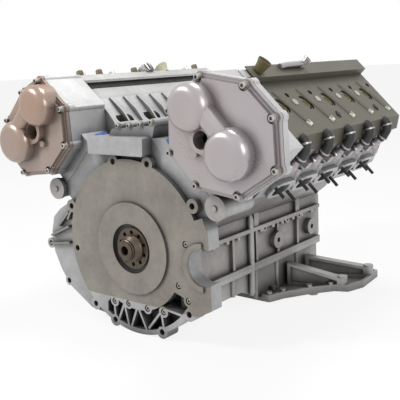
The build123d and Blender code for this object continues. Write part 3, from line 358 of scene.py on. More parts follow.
@dataclass(frozen=True)
class CastMetal(Finish):
    """Cast metal: sand-fine grain, clouded colour and painted shade in its corners."""

    light: Colour = (0.46, 0.46, 0.465)
    dark: Colour = (0.32, 0.32, 0.325)
    # Painted shade: the near-black colour laid into corners and pockets.
    corner: Colour = (0.035, 0.034, 0.036)
    metallic: float = 0.5
    roughness: float = 0.42
    grain: float = 700.0
    grain_depth: float = 0.00025
    shade_reach: float = 0.04
    shade_power: float = 1.8
    cloud: float = 14.0

    def body(self, graph: Graph, pattern: Value) -> Value:
        """The metal's own colour.

        Args:
            graph: The material's graph.
            pattern: The clouds and spots.

        Returns:
            The colour.
        """
        return graph.ramp(pattern, [(0.34, self.dark), (0.66, self.light)])

    def make(self, graph: Graph) -> bpy.types.Material:
        """Builds the clouded, grained metal."""
        cloud = graph.noise(self.cloud, 4.0)
        grain = graph.noise(self.grain, 3.0, 0.7)
        spots = graph.noise(95.0, 2.0)
        body = self.body(graph, cloud * 0.75 + spots * 0.25)
        # Painted shade: the base colour turns to the corner colour where walls close in; the same
        # openness also raises the roughness.
        openness = graph.crevice(self.shade_reach) ** self.shade_power
        colour = graph.mix(openness, self.corner, body)
        rough = (self.roughness - 0.06) + cloud * 0.12 + (1 - openness) * 0.15
        normal = graph.bump(grain + spots * 0.5, 0.55, self.grain_depth)
        return graph.surface(
            Base_Color=colour, Metallic=self.metallic, Roughness=rough, Normal=normal
        )


@dataclass(frozen=True)
class FacedCasting(CastMetal):
    """A bright casting whose machined face is a warmer, darker grey."""

    face_light: Colour = (0.30, 0.275, 0.24)
    face_dark: Colour = (0.205, 0.19, 0.165)
    face_depth: float = 0.0025
    face_foot: float = -0.118
    face_head: float = 0.12

    def body(self, graph: Graph, pattern: Value) -> Value:
        """The casting's colour, changed where the machined face lies."""
        split = graph.node("ShaderNodeSeparateXYZ", {}, {0: graph.place()})
        along, height = graph.out(split, 1), graph.out(split, 2)
        reach = ((along > -self.face_depth) + (1 - (height > self.face_head))).clamped()
        near = reach * (1 - (along > self.face_depth)) * (height > self.face_foot)
        face = graph.ramp(pattern, [(0.34, self.face_dark), (0.66, self.face_light)])
        return graph.mix(near, super().body(graph, pattern), face)


@dataclass(frozen=True)
class SatinMetal(Finish):
    """Smooth moulded or machined metal with faint patches of painted warm light, fine scratches and
    painted shade in its corners.
    """

    light: Colour = (0.50, 0.465, 0.475)
    dark: Colour = (0.39, 0.36, 0.37)
    # Painted warm light: the warm colour and how strongly it is mixed in.
    warm_light: Colour = (0.42, 0.31, 0.25)
    warm_light_share: float = 0.35
    metallic: float = 0.6
    roughness: float = 0.27
    shade_reach: float = 0.025
    scratch: float = 320.0

    def make(self, graph: Graph) -> bpy.types.Material:
        """Builds the satin metal."""
        cloud = graph.noise(7.0, 3.0)
        scratch = graph.noise(self.scratch, 2.0, 0.6)
        body = graph.mix(cloud, self.dark, self.light)
        # Painted warm light, mixed into the colour in large random patches.
        warm_light_patches = (graph.noise(4.0, 2.0) - 0.45) * 4 * self.warm_light_share
        body = graph.mix(warm_light_patches.clamped(), body, self.warm_light)
        # Painted shade: a near-black colour darkens the base colour in corners and pockets.
        openness = graph.crevice(self.shade_reach)
        colour = graph.mix(openness, (0.10, 0.09, 0.09), body)
        rough = (self.roughness - 0.04) + cloud * 0.08 + scratch * 0.04
        normal = graph.bump(scratch, 0.1, 0.00006)
        return graph.surface(
            Base_Color=colour, Metallic=self.metallic, Roughness=rough, Normal=normal
        )


@dataclass(frozen=True)
class WornSteel(Finish):
    """Ground or blackened steel with rust in its corners."""

    light: Colour = (0.30, 0.29, 0.28)
    dark: Colour = (0.12, 0.12, 0.12)
    rust: Colour = (0.20, 0.10, 0.05)
    rust_share: float = 0.3
    metallic: float = 0.8
    roughness: float = 0.38

    def make(self, graph: Graph) -> bpy.types.Material:
        """Builds the worn steel."""
        cloud = graph.noise(60.0, 4.0, 0.65)
        fleck = graph.noise(420.0, 2.0)
        body = graph.mix(cloud, self.dark, self.light)
        openness = graph.crevice(0.01)
        mask = ((1 - openness) * 0.8 + (fleck - 0.5) * 0.6) * self.rust_share * 2
        colour = graph.mix(mask.clamped(), body, self.rust)
        rough = self.roughness + cloud * 0.15
        return graph.surface(
            Base_Color=colour,
            Metallic=self.metallic,
            Roughness=rough,
            Normal=graph.bump(fleck, 0.4, 0.0001),
        )


@dataclass(frozen=True)
class PressedSheet(Finish):
    """Aluminised sheet, khaki grey, with rolling lines and a dusty cast."""

    light: Colour = (0.175, 0.165, 0.13)
    dark: Colour = (0.115, 0.108, 0.085)
    metallic: float = 0.45
    roughness: float = 0.42

    def make(self, graph: Graph) -> bpy.types.Material:
        """Builds the sheet."""
        cloud = graph.noise(9.0, 4.0)
        stretch = {"Vector": graph.place(), "Scale": (900, 25, 900)}
        rolling = graph.node("ShaderNodeMapping", {}, stretch)
        lines = graph.node(
            "ShaderNodeTexNoise", {}, {"Vector": graph.out(rolling), "Scale": 1.0, "Detail": 2.0}
        )
        streak = graph.out(lines, 0)
        body = graph.mix(cloud * 0.8 + streak * 0.2, self.dark, self.light)
        # Painted shade: a dark khaki colour darkens the sheet in its creases and corners.
        openness = graph.crevice(0.012)
        colour = graph.mix(openness, (0.05, 0.045, 0.03), body)
        rough = self.roughness + streak * 0.12
        return graph.surface(
            Base_Color=colour,
            Metallic=self.metallic,
            Roughness=rough,
            Normal=graph.bump(streak, 0.3, 0.00012),
        )


@dataclass(frozen=True)
class Moulded(Finish):
    """Moulded rubber or plastic with a fine skin."""

    light: Colour = (0.03, 0.03, 0.03)
    dark: Colour = (0.015, 0.015, 0.015)
    roughness: float = 0.4
    skin: float = 500.0

    def make(self, graph: Graph) -> bpy.types.Material:
        """Builds the moulded skin."""
        cloud = graph.noise(40.0, 3.0)
        skin = graph.noise(self.skin, 2.0)
        colour = graph.mix(cloud, self.dark, self.light)
        return graph.surface(
            Base_Color=colour,
            Metallic=0.0,
            Roughness=self.roughness + cloud * 0.1,
            Normal=graph.bump(skin, 0.25, 0.0001),
        )


CAST = CastMetal("cast_aluminium")
BLOCK = CastMetal("block_aluminium", light=(0.44, 0.42, 0.41), dark=(0.29, 0.27, 0.26))
FACE = FacedCasting("face_aluminium", metallic=0.45, roughness=0.42, grain=1100.0)
SUMP = CastMetal(
    "sump_aluminium",
    light=(0.48, 0.47, 0.46),
    dark=(0.35, 0.34, 0.33),
    roughness=0.36,
)
# Lighter copies of the cast aluminium for the heads, cam covers and valley parts: partly pale
# metal, partly painted light where the top light falls.
LIT_HEAD = CastMetal("lit_head_aluminium", light=(0.60, 0.60, 0.60), dark=(0.46, 0.46, 0.455))
LIT_COVER_CAST = CastMetal("lit_cover_aluminium", light=(0.60, 0.60, 0.59), dark=(0.47, 0.465, 0.455))
# The right timing cover, with patches of painted warm light.
MOULDED_COVER = SatinMetal("moulded_cover")
# The left timing cover: a copy of the moulded cover whose colours are shifted to peach by painted
# warm light.
PAINTED_WARM_LIGHT_COVER = SatinMetal(
    "painted_warm_light_cover",
    light=(0.42, 0.345, 0.305),
    dark=(0.32, 0.25, 0.215),
    warm_light=(0.44, 0.27, 0.18),
    warm_light_share=0.6,
)
MACHINED = SatinMetal("machined_aluminium", warm_light_share=0.0, roughness=0.26)
BOLT = SatinMetal(
    "bright_bolt",
    light=(0.56, 0.54, 0.50),
    dark=(0.38, 0.36, 0.32),
    roughness=0.3,
)
STEEL = WornSteel("ground_steel")
DARK_STEEL = WornSteel(
    "dark_steel",
    light=(0.07, 0.07, 0.075),
    dark=(0.03, 0.03, 0.033),
    rust_share=0.05,
)
OILED_STEEL = WornSteel(
    "oiled_steel",
    light=(0.16, 0.13, 0.10),
    dark=(0.055, 0.045, 0.035),
    roughness=0.3,
)
SHEET = PressedSheet("shield_sheet")
RUBBER = Moulded("black_rubber")
SEAL_RUBBER = Moulded("seal_rubber", light=(0.045, 0.04, 0.036), dark=(0.025, 0.023, 0.02))
BLUE = Moulded(
    "blue_plastic",
    light=(0.03, 0.10, 0.42),
    dark=(0.02, 0.06, 0.30),
    roughness=0.35,
)
DARK_PLASTIC = Moulded("dark_plastic", light=(0.10, 0.10, 0.085), dark=(0.06, 0.06, 0.05))
OLIVE = Moulded(
    "olive_plastic",
    light=(0.16, 0.13, 0.06),
    dark=(0.10, 0.08, 0.03),
    roughness=0.45,
)
CUP = Moulded("pale_cup", light=(0.60, 0.58, 0.40), dark=(0.45, 0.44, 0.30), roughness=0.5)
GASKET = Moulded("gasket", light=(0.06, 0.06, 0.06), dark=(0.03, 0.03, 0.03), roughness=0.6)
BRONZE = SatinMetal(
    "bronze_shell",
    light=(0.55, 0.42, 0.25),
    dark=(0.42, 0.30, 0.16),
    warm_light_share=0.0,
)
CERAMIC = Moulded("ceramic", light=(0.80, 0.79, 0.75), dark=(0.70, 0.69, 0.66), roughness=0.2)
WHITE_TIP = Moulded(
    "white_tip",
    light=(0.72, 0.72, 0.64),
    dark=(0.60, 0.60, 0.52),
    roughness=0.4,
)

NODE_FINISHES: dict[str, Finish] = {
    "chain_case": FACE,
    "cylinder_block": BLOCK,
    "bedplate": BLOCK,
    "oil_sump": SUMP,
    "sump_base": SUMP,
    "front_cover": CAST,
    "valley_cover": CAST,
    "cylinder_head": LIT_HEAD,
    "cam_cover": LIT_COVER_CAST,
    "timing_cover_bolts": BOLT,
    "timing_cover": MOULDED_COVER,
    # The left timing cover takes the copy with painted warm light.
    "timing_cover_left": PAINTED_WARM_LIGHT_COVER,
    "timing_gaskets": GASKET,
    "head_gaskets": GASKET,
    "shield_clips": RUBBER,
    "shield": SHEET,
    "port_caps": BLUE,
    "breather": DARK_PLASTIC,
    "filler_neck": CUP,
    "rear_main_seal": SEAL_RUBBER,
    "crankshaft": OILED_STEEL,
    "main_bearing_shells": BRONZE,
    "spark_plugs": CERAMIC,
    "exhaust_studs": DARK_STEEL,
    "case_bolts": BOLT,
    "front_cover_bolts": BOLT,
    "bedplate_bolts": BOLT,
    "base_plugs": BOLT,
    "tensioner_covers": BLOCK,
    "piston": MACHINED,
    "vibration_damper": DARK_STEEL,
}


def finish_of(node: str) -> Finish:
    """The finish of a node, by the longest name that it starts with."""
    fitting = [key for key in NODE_FINISHES if node.startswith(key)]
    return NODE_FINISHES[max(fitting, key=len)] if fitting else STEEL


# Meshes
class Form:
    """A mesh under construction, in millimetres of one drawing."""

    def __init__(self, place: Place = millimetres) -> None:
        """Starts an empty mesh.

        Args:
            place: Takes a point of the drawing to the engine, in metres.
        """
        self.place = place
        self.mesh = bmesh.new()

    def _ring(self, points: Iterable[Vector]) -> list[bmesh.types.BMVert]:
        """Adds one ring of points."""
        return [self.mesh.verts.new(self.place(point)) for point in points]

    def _circle(
        self, centre: Vector, first: Vector, second: Vector, radius: float, sides: int
    ) -> list[bmesh.types.BMVert]:
        """Adds one round ring.

        Args:
            centre: Its centre.
            first: One direction in its plane.
            second: The other direction in its plane.
            radius: Its radius.
            sides: The number of sides.

        Returns:
            The ring's points.
        """
        turns = [2 * math.pi * step / sides for step in range(sides)]
        return self._ring(
            centre + first * (radius * math.cos(t)) + second * (radius * math.sin(t)) for t in turns
        )

    def _skin(self, rings: list[list[bmesh.types.BMVert]]) -> None:
        """Joins rings of equal length into a skin that is closed at both ends."""
        count = len(rings[0])
        for lower, upper in zip(rings, rings[1:]):
            for step in range(count):
                after = (step + 1) % count
                self.mesh.faces.new((lower[step], lower[after], upper[after], upper[step]))
        self.mesh.faces.new(list(reversed(rings[0])))
        self.mesh.faces.new(rings[-1])

    def turned(
        self,
        base: Sequence[float],
        axis: Sequence[float],
        profile: Sequence[Pair],
        sides: int = 28,
    ) -> "Form":
        """Adds a turned form.

        Args:
            base: The foot of its axis.
            axis: The direction of its axis.
            profile: Radius and distance along the axis, from end to end.
            sides: The number of sides.

        Returns:
            This form.
        """
        base, axis = Vector(base), Vector(axis).normalized()
        first = axis.orthogonal().normalized()
        second = axis.cross(first)
        rings = [
            self._circle(base + axis * along, first, second, radius, sides)
            for radius, along in profile
        ]
        self._skin(rings)
        return self

    def tube(
        self, points: Sequence[Sequence[float]], radii: Sequence[float], sides: int = 18
    ) -> "Form":
        """Adds a round bar swept along points.

        Args:
            points: The line's points.
            radii: The radius at each point, or one for all.
            sides: The number of sides.

        Returns:
            This form.
        """
        line = [Vector(point) for point in points]
        sizes = list(radii) if len(radii) == len(line) else [radii[0]] * len(line)
        rings = []
        side_way = None
        for index, point in enumerate(line):
            ahead = line[min(index + 1, len(line) - 1)] - line[max(index - 1, 0)]
            ahead.normalize()
            if side_way is None:
                side_way = ahead.orthogonal().normalized()
            side_way = (side_way - ahead * side_way.dot(ahead)).normalized()
            up_way = ahead.cross(side_way)
            rings.append(self._circle(point, side_way, up_way, sizes[index], sides))
        self._skin(rings)
        return self

    def slab(
        self,
        outline: Sequence[Pair],
        origin: Sequence[float],
        across: Sequence[float],
        up: Sequence[float],
        depth: Sequence[float],
        inset: float = 0.0,
    ) -> "Form":
        """Adds an extruded outline, with a chamfer when inset is given.

        Args:
            outline: The outline's points.
            origin: The outline's origin.
            across: The direction of its first number.
            up: The direction of its second number.
            depth: How far and which way it is extruded.
            inset: The chamfer at the far end.

        Returns:
            This form.
        """
        origin, across, up, depth = (Vector(v) for v in (origin, across, up, depth))
        centre_x = sum(p[0] for p in outline) / len(outline)
        centre_y = sum(p[1] for p in outline) / len(outline)

        def ring(share: float, shrink: float) -> list[bmesh.types.BMVert]:
            """One ring at a share of the depth, pulled in by shrink."""
            made = []
            for x, y in outline:
                reach = math.hypot(x - centre_x, y - centre_y) or 1.0
                keep = 1 - shrink / reach
                made.append(
                    origin
                    + across * (centre_x + (x - centre_x) * keep)
                    + up * (centre_y + (y - centre_y) * keep)
                    + depth * share
                )
            return self._ring(made)

        rings = [ring(0.0, 0.0)]
        if inset:
            rings.append(ring(1 - inset / depth.length, 0.0))
        rings.append(ring(1.0, inset))
        self._skin(rings)
        return self

    def block(
        self,
        centre: Sequence[float],
        size: Sequence[float],
        turn: float = 0.0,
        chamfer: float = 1.0,
    ) -> "Form":
        """Adds a chamfered block, turned about z.

        Args:
            centre: Its centre.
            size: Its three sizes.
            turn: Its turn about z in degrees.
            chamfer: The chamfer of its upper edges.

        Returns:
            This form.
        """
        wide, deep, high = size
        angle = math.radians(turn)
        across = (math.cos(angle), math.sin(angle), 0)
        along = (-math.sin(angle), math.cos(angle), 0)
        x, y = wide / 2, deep / 2
        corners = [(-x, -y), (x, -y), (x, y), (-x, y)]
        origin = Vector(centre) - Vector((0, 0, high / 2))
        return self.slab(corners, origin, across, along, (0, 0, high), chamfer)

    def piece(
        self,
        name: str,
        finish: Finish,
        slot: str,
        body: str = ENGINE,
        replaced: Sequence[str] = (),
        smooth: float = 38.0,
    ) -> bpy.types.Object:
        """Ends the mesh as a piece of the engine.

        Args:
            name: The piece's name.
            finish: Its finish.
            slot: The record's material slot; not used.
            body: The body that it rides on.
            replaced: The nodes that it stands for.
            smooth: Edges sharper than this many degrees stay sharp.

        Returns:
            The piece.
        """
        bmesh.ops.recalc_face_normals(self.mesh, faces=self.mesh.faces)
        data = bpy.data.meshes.new(name)
        self.mesh.to_mesh(data)
        self.mesh.free()
        data.shade_smooth()
        data.set_sharp_from_angle(angle=math.radians(smooth))
        made = bpy.data.objects.new(name, data)
        bpy.context.scene.collection.objects.link(made)
        data.materials.append(finish.material())
        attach(made, body)
        if replaced:
            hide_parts(*replaced)
        LOG.info("piece %s: %d faces", name, len(data.polygons))
        return made


def socket_head(radius: float, height: float) -> Pairs:
    """A socket bolt's turned profile from its washer up to the bottom of its socket.

    Args:
        radius: The head's radius.
        height: The height from the seat to the top.

    Returns:
        Radius and height pairs.
    """
    washer = radius + 1.6
    socket = radius * 0.5
    return (
        (washer, 0.0),
        (washer, 1.2),
        (radius, 1.4),
        (radius, height - 1.0),
        (radius - 1.0, height),
        (radius * 0.56, height),
        (socket, height - 0.6),
        (socket, height - 4.0),
        (0.3, height - 4.6),
    )


# Sub-assemblies
@dataclass(frozen=True)
class TimingEnd:
    """The bolts of both timing covers and of the chain case's face."""

    right_bolts: Pairs = (
        (-86, 407),
        (-6, 465),
        (71, 466),
        (135, 407),
        (114, 316),
        (40, 259),
        (-42, 258),
        (-94, 315),
    )
    left_bolts: Pairs = (
        (-86, 407),
        (-30, 429),
        (58, 429),
        (111, 392),
        (110, 316),
        (40, 259),
        (-42, 258),
        (-94, 315),
    )
    face_bolts: Pairs = (
        (145, 27),
        (122, -61),
        (146, -89),
        (77, -125),
        (32, -126),
        (-23, -125),
        (-65, -127),
    )
    crown_bolts: Pairs = ((-30, 253), (2, 254), (33, 257), (64, 262))
    cover_head: Pair = (5.7, 11.0)
    face_head: Pair = (5.4, 8.0)
    crown_head: Pair = (5.0, 6.0)
    cover_seat: float = -3.0
    face_seat: float = 9.0
    crown_seat: float = 13.0

    def build(self) -> None:
        """Builds the cover bolts, the face bolts and the arch's bolts."""
        for side in Side:
            self.cover_screws(BankFrame(side))
        form = Form()
        for x, z in self.face_bolts:
            form.turned((x, self.face_seat, z), TO_VIEWER, socket_head(*self.face_head))
        for x, z in self.crown_bolts:
            form.turned((x, self.crown_seat, z), TO_VIEWER, socket_head(*self.crown_head))
        form.piece("face_bolts", BOLT, "bright_bolt", replaced=("case_bolts",))

    def cover_screws(self, bank: BankFrame) -> None:
        """Builds one cover's bolts; the right side's stand for the node of both."""
        on_right = bank.side is Side.RIGHT
        form = Form(bank.place)
        for x, z in self.right_bolts if on_right else self.left_bolts:
            seat = (x, bank.lip + self.cover_seat, z)
            form.turned(seat, TO_VIEWER, socket_head(*self.cover_head))
        replaced = ("timing_cover_bolts",) if on_right else ()
        form.piece(f"cover_bolts_{bank.side.value}", BOLT, "bright_bolt", replaced=replaced)


@dataclass(frozen=True)
class ShieldTrim:
    """What sits on and under a pressed shield: elbows, rib ends, wells and pads."""

    side: Side
    top: float = 396.0
    edge_x: float = 84.0
    elbow_shift: float = -22.0
    elbow_radius: float = 10.0
    elbow_line: Pairs = ((-12, -3), (-4, -1), (5, -5), (12, -14), (15, -26), (14, -38))
    ring_places: tuple[tuple[Pair, Pair], ...] = (((3, -4), (0.8, -0.45)), ((15, -30), (0.05, -1)))
    ring: Pairs = ((10.2, -2.0), (11.6, -1.5), (11.6, 1.5), (10.2, 2.0))
    stub: Pairs = ((7.5, -4), (7.5, 8), (9, 9), (9, 15), (11, 17), (11, 25), (8, 27))
    stub_way: Point = (-0.1, 0, -1)
    rib_x: float = 2.0
    rib_length: float = 94.0
    rib_shift: float = 22.0
    rib_turn: float = 20.0
    tab: Point = (13, 13, 3.2)
    coil_place: Pair = (-5, -4)
    coil: Pairs = ((13, -4), (13, 0), (12, 1), (8, 1), (7, -1), (2, -1))
    diamond_cylinders: tuple[int, ...] = (1, 3)
    diamond_place: Pair = (38, 77)
    diamond: Pairs = ((-9, 0), (0, -7), (9, 0), (0, 7))
    plugs: int = 4
    plug_place: Point = (-10, 52, -0.3)
    plug: Pairs = ((6.4, 0), (6.4, 1.0), (0.4, 0.7))
    plug_rim: Pairs = ((6.4, 0.2), (8.2, 0.4), (7.8, 1.8), (6.6, 1.8))

    def build(self) -> None:
        """Builds the shield's trim."""
        bank = BankFrame(self.side)
        self.elbows(bank)
        self.rib_ends(bank)
        self.wells(bank)
        self.pads(bank)

    def by_edge(self, place: Pair, y: float) -> Point:
        """A point given by its distances from the shield's lower edge."""
        return (self.edge_x + place[0], y, self.top + place[1])

    def elbows(self, bank: BankFrame) -> None:
        """Five black elbows over the lower edge, with bright rings and stubs."""
        hoses, rings, stubs = Form(bank.place), Form(bank.place), Form(bank.place)
        for cylinder in bank.cylinder_places:
            y = cylinder + self.elbow_shift
            line = [self.by_edge(place, y) for place in self.elbow_line]
            hoses.tube(line, [self.elbow_radius], 22)
            for place, (across, rise) in self.ring_places:
                rings.turned(self.by_edge(place, y), (across, 0, rise), self.ring, 26)
            stubs.turned(line[-1], self.stub_way, self.stub, 20)
        name = self.side.value
        replaced = ("shield_clips",) if self.side is Side.RIGHT else ()
        hoses.piece(f"elbows_{name}", RUBBER, "black_rubber", replaced=replaced)
        rings.piece(f"elbow_rings_{name}", BOLT, "bright_bolt")
        stubs.piece(f"elbow_stubs_{name}", MACHINED, "cast_aluminium")

    def rib_ends(self, bank: BankFrame) -> None:
        """Pale square tabs at the ribs' lower ends."""
        form = Form(bank.place)
        turn = math.radians(self.rib_turn)
        reach = self.rib_length / 2
        x = self.rib_x + reach * math.cos(turn)
        for cylinder in bank.cylinder_places:
            y = cylinder + self.rib_shift + reach * math.sin(turn)
            form.block((x, y, self.top + self.tab[2] / 2), self.tab, self.rib_turn, 1.2)
        form.piece(f"rib_ends_{self.side.value}", WHITE_TIP, "shield_sheet")

    def wells(self, bank: BankFrame) -> None:
        """Olive coil tops seen through the openings."""
        form = Form(bank.place)
        x, sink = self.coil_place
        for cylinder in bank.cylinder_places:
            form.turned((x, cylinder, self.top + sink), UP, self.coil, 24)
        form.piece(f"coil_tops_{self.side.value}", OLIVE, "dark_plastic")

    def pads(self, bank: BankFrame) -> None:
        """Dark diamond washers and ringed plugs between the ribs."""
        form, rims = Form(bank.place), Form(bank.place)
        x, shift = self.diamond_place
        for index in self.diamond_cylinders:
            origin = (x, bank.cylinder_places[index] + shift, self.top)
            form.slab(self.diamond, origin, OUTWARD, ALONG, (0, 0, 3.0), 1.5)
        x, shift, sink = self.plug_place
        for cylinder in bank.cylinder_places[: self.plugs]:
            seat = (x, cylinder + shift, self.top + sink)
            form.turned(seat, UP, self.plug, 24)
            rims.turned(seat, UP, self.plug_rim, 28)
        form.piece(f"shield_pads_{self.side.value}", DARK_STEEL, "dark_steel")
        rims.piece(f"plug_rims_{self.side.value}", BOLT, "bright_bolt")


@dataclass(frozen=True)
class RidgeFittings:
    """Filler cup, breather, stubs, cup and pipe on the ridges."""

    ridge_x: float = -84.0
    ridge_top: float = 409.0
    shelf_rise: float = 3.5
    filler_y: float = 390.0
    filler: Pairs = (
        (12, 0),
        (12, 6),
        (18, 19),
        (19, 21.5),
        (17.5, 21.5),
        (11, 8),
        (10.5, 2),
        (1, 2),
    )
    breather_y: float = 325.0
    breather: Pairs = ((17, 0), (17, 20), (15, 23.5), (9, 23.5), (8, 20), (1, 20))
    fins: int = 14
    fin: Point = (6, 2.2, 20)
    fin_reach: float = 18.0
    fin_height: float = 11.0
    stub_places: tuple[float, ...] = (100.0, 160.0, 278.0, 515.0)
    stub_way: Point = (-0.45, 0.1, 1)
    stub: Pairs = (
        (9.5, -2),
        (9.5, 5),
        (8, 6),
        (8, 16),
        (7, 17.5),
        (4.5, 17.5),
        (4, 10),
        (0.4, 10),
    )
    cup_y: float = 140.0
    cup_way: Point = (-0.12, 0.15, 1)
    cup: Pairs = (
        (9, 0),
        (11, 4),
        (12, 14),
        (14.6, 22.5),
        (15, 25),
        (13.6, 25),
        (11, 14),
        (10, 6),
        (0.5, 6),
    )
    pipe_shift: float = -6.0
    pipe_radius: float = 6.0
    pipe_line: Pairs = ((222, 3), (240, 6), (285, 7.5), (300, 8))
    pipe_end_y: float = 306.0
    pipe_end_way: Point = (0, 0.25, 1)
    pipe_end: Pairs = (
        (8, 0),
        (8, 5),
        (6.5, 6),
        (6.5, 19),
        (8.5, 20),
        (8.5, 23),
        (6, 23),
        (5.5, 12),
        (0.4, 12),
    )

    def build(self) -> None:
        """Builds the fittings of both ridges."""
        left = BankFrame(Side.LEFT)
        cup = Form(left.place)
        cup.turned((self.ridge_x, self.filler_y, self.ridge_top), UP, self.filler, 32)
        cup.piece("filler_cup", CUP, "dark_plastic", replaced=("filler_neck",))
        self.breather_housing(left)
        self.left_stubs(left)
        self.right_fittings(BankFrame(Side.RIGHT))

    def breather_housing(self, bank: BankFrame) -> None:
        """A ribbed silver housing beside the filler."""
        x, y = self.ridge_x, self.breather_y
        body = Form(bank.place)
        body.turned((x, y, self.ridge_top), UP, self.breather, 32)
        for step in range(self.fins):
            turn = 2 * math.pi * step / self.fins
            centre = (
                x + self.fin_reach * math.cos(turn),
                y + self.fin_reach * math.sin(turn),
                self.ridge_top + self.fin_height,
            )
            body.block(centre, self.fin, math.degrees(turn), 0.8)
        body.piece("breather_body", LIT_COVER_CAST, "cast_aluminium", replaced=("breather",))

    def left_stubs(self, bank: BankFrame) -> None:
        """Four leaning olive stubs along the left ridge."""
        form = Form(bank.place)
        for y in self.stub_places:
            form.turned((self.ridge_x, y, self.ridge_top), self.stub_way, self.stub, 26)
        form.piece("ridge_stubs", OLIVE, "dark_plastic")

    def right_fittings(self, bank: BankFrame) -> None:
        """An olive cup near the right ridge's front and a silver pipe behind it."""
        shelf = self.ridge_top + self.shelf_rise
        cup = Form(bank.place)
        cup.turned((self.ridge_x, self.cup_y, shelf), self.cup_way, self.cup, 32)
        cup.piece("ridge_cup", OLIVE, "dark_plastic")
        pipe = Form(bank.place)
        x = self.ridge_x + self.pipe_shift
        pipe.tube([(x, y, shelf + rise) for y, rise in self.pipe_line], [self.pipe_radius], 20)
        pipe.turned((x, self.pipe_end_y, shelf), self.pipe_end_way, self.pipe_end, 26)
        pipe.piece("ridge_pipe", MACHINED, "cast_aluminium")


@dataclass(frozen=True)
class HeadFlank:
    """Bosses and half-round swells on a head's exhaust side, ribs on its valley side."""

    side: Side
    bottom: float = 230.8
    pad_place: Pair = (92, 100)
    pad: Point = (20, 16, 14)
    boss_place: Point = (86, 8, 90)
    boss_way: Point = (1, 0, 0.25)
    boss: Pairs = ((8, -2), (8, 10), (6.5, 12), (3, 12), (3, 6), (0.3, 6))
    swell: Pairs = ((88, 16), (96, 44), (88, 80))
    swell_radii: Point = (8, 12, 8)
    ribs: int = 11
    rib: Pairs = ((-86, 8), (-86, 108), (-90, 108), (-96, 60), (-90, 8))
    rib_width: float = 6.0

    def build(self) -> None:
        """Builds both flanks of one head."""
        bank = BankFrame(self.side)
        self.exhaust_side(bank, bank.pitch / 2)
        self.valley_side(bank, bank.pitch / 2)

    def exhaust_side(self, bank: BankFrame, half_pitch: float) -> None:
        """A square pad, a round boss and a swell for each cylinder."""
        form = Form(bank.place)
        for y in bank.cylinder_places:
            x, height = self.pad_place
            form.block((x, y - half_pitch, self.bottom + height), self.pad, 0, 2.0)
            x, shift, height = self.boss_place
            form.turned((x, y + shift, self.bottom + height), self.boss_way, self.boss)
            swell = [(x, y + half_pitch, self.bottom + height) for x, height in self.swell]
            form.tube(swell, self.swell_radii, 16)
        form.piece(f"flank_bosses_{self.side.value}", MACHINED, "cast_aluminium")

    def valley_side(self, bank: BankFrame, half_pitch: float) -> None:
        """Upright ribs along the valley's wall."""
        form = Form(bank.place)
        start = bank.cylinder_places[0] - half_pitch
        for step in range(self.ribs):
            origin = (0, start + step * half_pitch - self.rib_width / 2, self.bottom)
            form.slab(self.rib, origin, OUTWARD, UP, (0, self.rib_width, 0), 1.0)
        form.piece(f"valley_ribs_{self.side.value}", LIT_COVER_CAST, "cast_aluminium")


@dataclass(frozen=True)
class LowerFlank:
    """Round columns and bosses on the crankcase's sides."""

    half_width: float = 117.0
    column_y: float = 260.0
    column: Pairs = ((34, 4), (20, 8), (-80, 8), (-150, 8), (-160, 4))
    boss_places: tuple[float, ...] = (310.0, 409.0, 463.0)
    boss_height: float = -10.0
    boss_sink: float = 2.0
    boss: Pairs = ((9, 0), (9, 7), (7.5, 8.5), (4, 8.5), (4, 4), (0.4, 4))

    def build(self) -> None:
        """Builds a column and three bosses on each side."""
        form = Form()
        for sign in (-1, 1):
            x = sign * self.half_width
            line = [(x, self.column_y, height) for height, _ in self.column]
            form.tube(line, [radius for _, radius in self.column], 20)
            seat_x = x - sign * self.boss_sink
            for y in self.boss_places:
                form.turned((seat_x, y, self.boss_height), (sign, 0, 0), self.boss, 24)
        form.piece("flank_columns", SUMP, "cast_aluminium")


@dataclass(frozen=True)
class CrankEnd:
    """The stepped collar of the flywheel flange's hub."""

    collar: Pairs = ((27.9, 9.4), (22.0, 15.0), (22.0, 19.0), (20.4, 20.2), (20.4, 9.4))

    def build(self) -> None:
        """Builds the collar, which turns with the crankshaft."""
        form = Form()
        form.turned((0, 0, 0), TO_VIEWER, self.collar, 48)
        form.piece("hub_collar", OILED_STEEL, "steel", CRANK)


@dataclass(frozen=True)
class Lamp:
    """One soft round lamp."""

    name: str
    place: Point
    aim: Point
    size: float
    power: float

    def build(self) -> None:
        """Builds the lamp."""
        data = bpy.data.lights.new(self.name, "AREA")
        data.shape = "DISK"
        data.size = self.size
        data.energy = self.power
        made = bpy.data.objects.new(self.name, data)
        bpy.context.scene.collection.objects.link(made)
        made.location = self.place
        way = Vector(self.place) - Vector(self.aim)
        made.rotation_euler = way.to_track_quat("Z", "Y").to_euler()


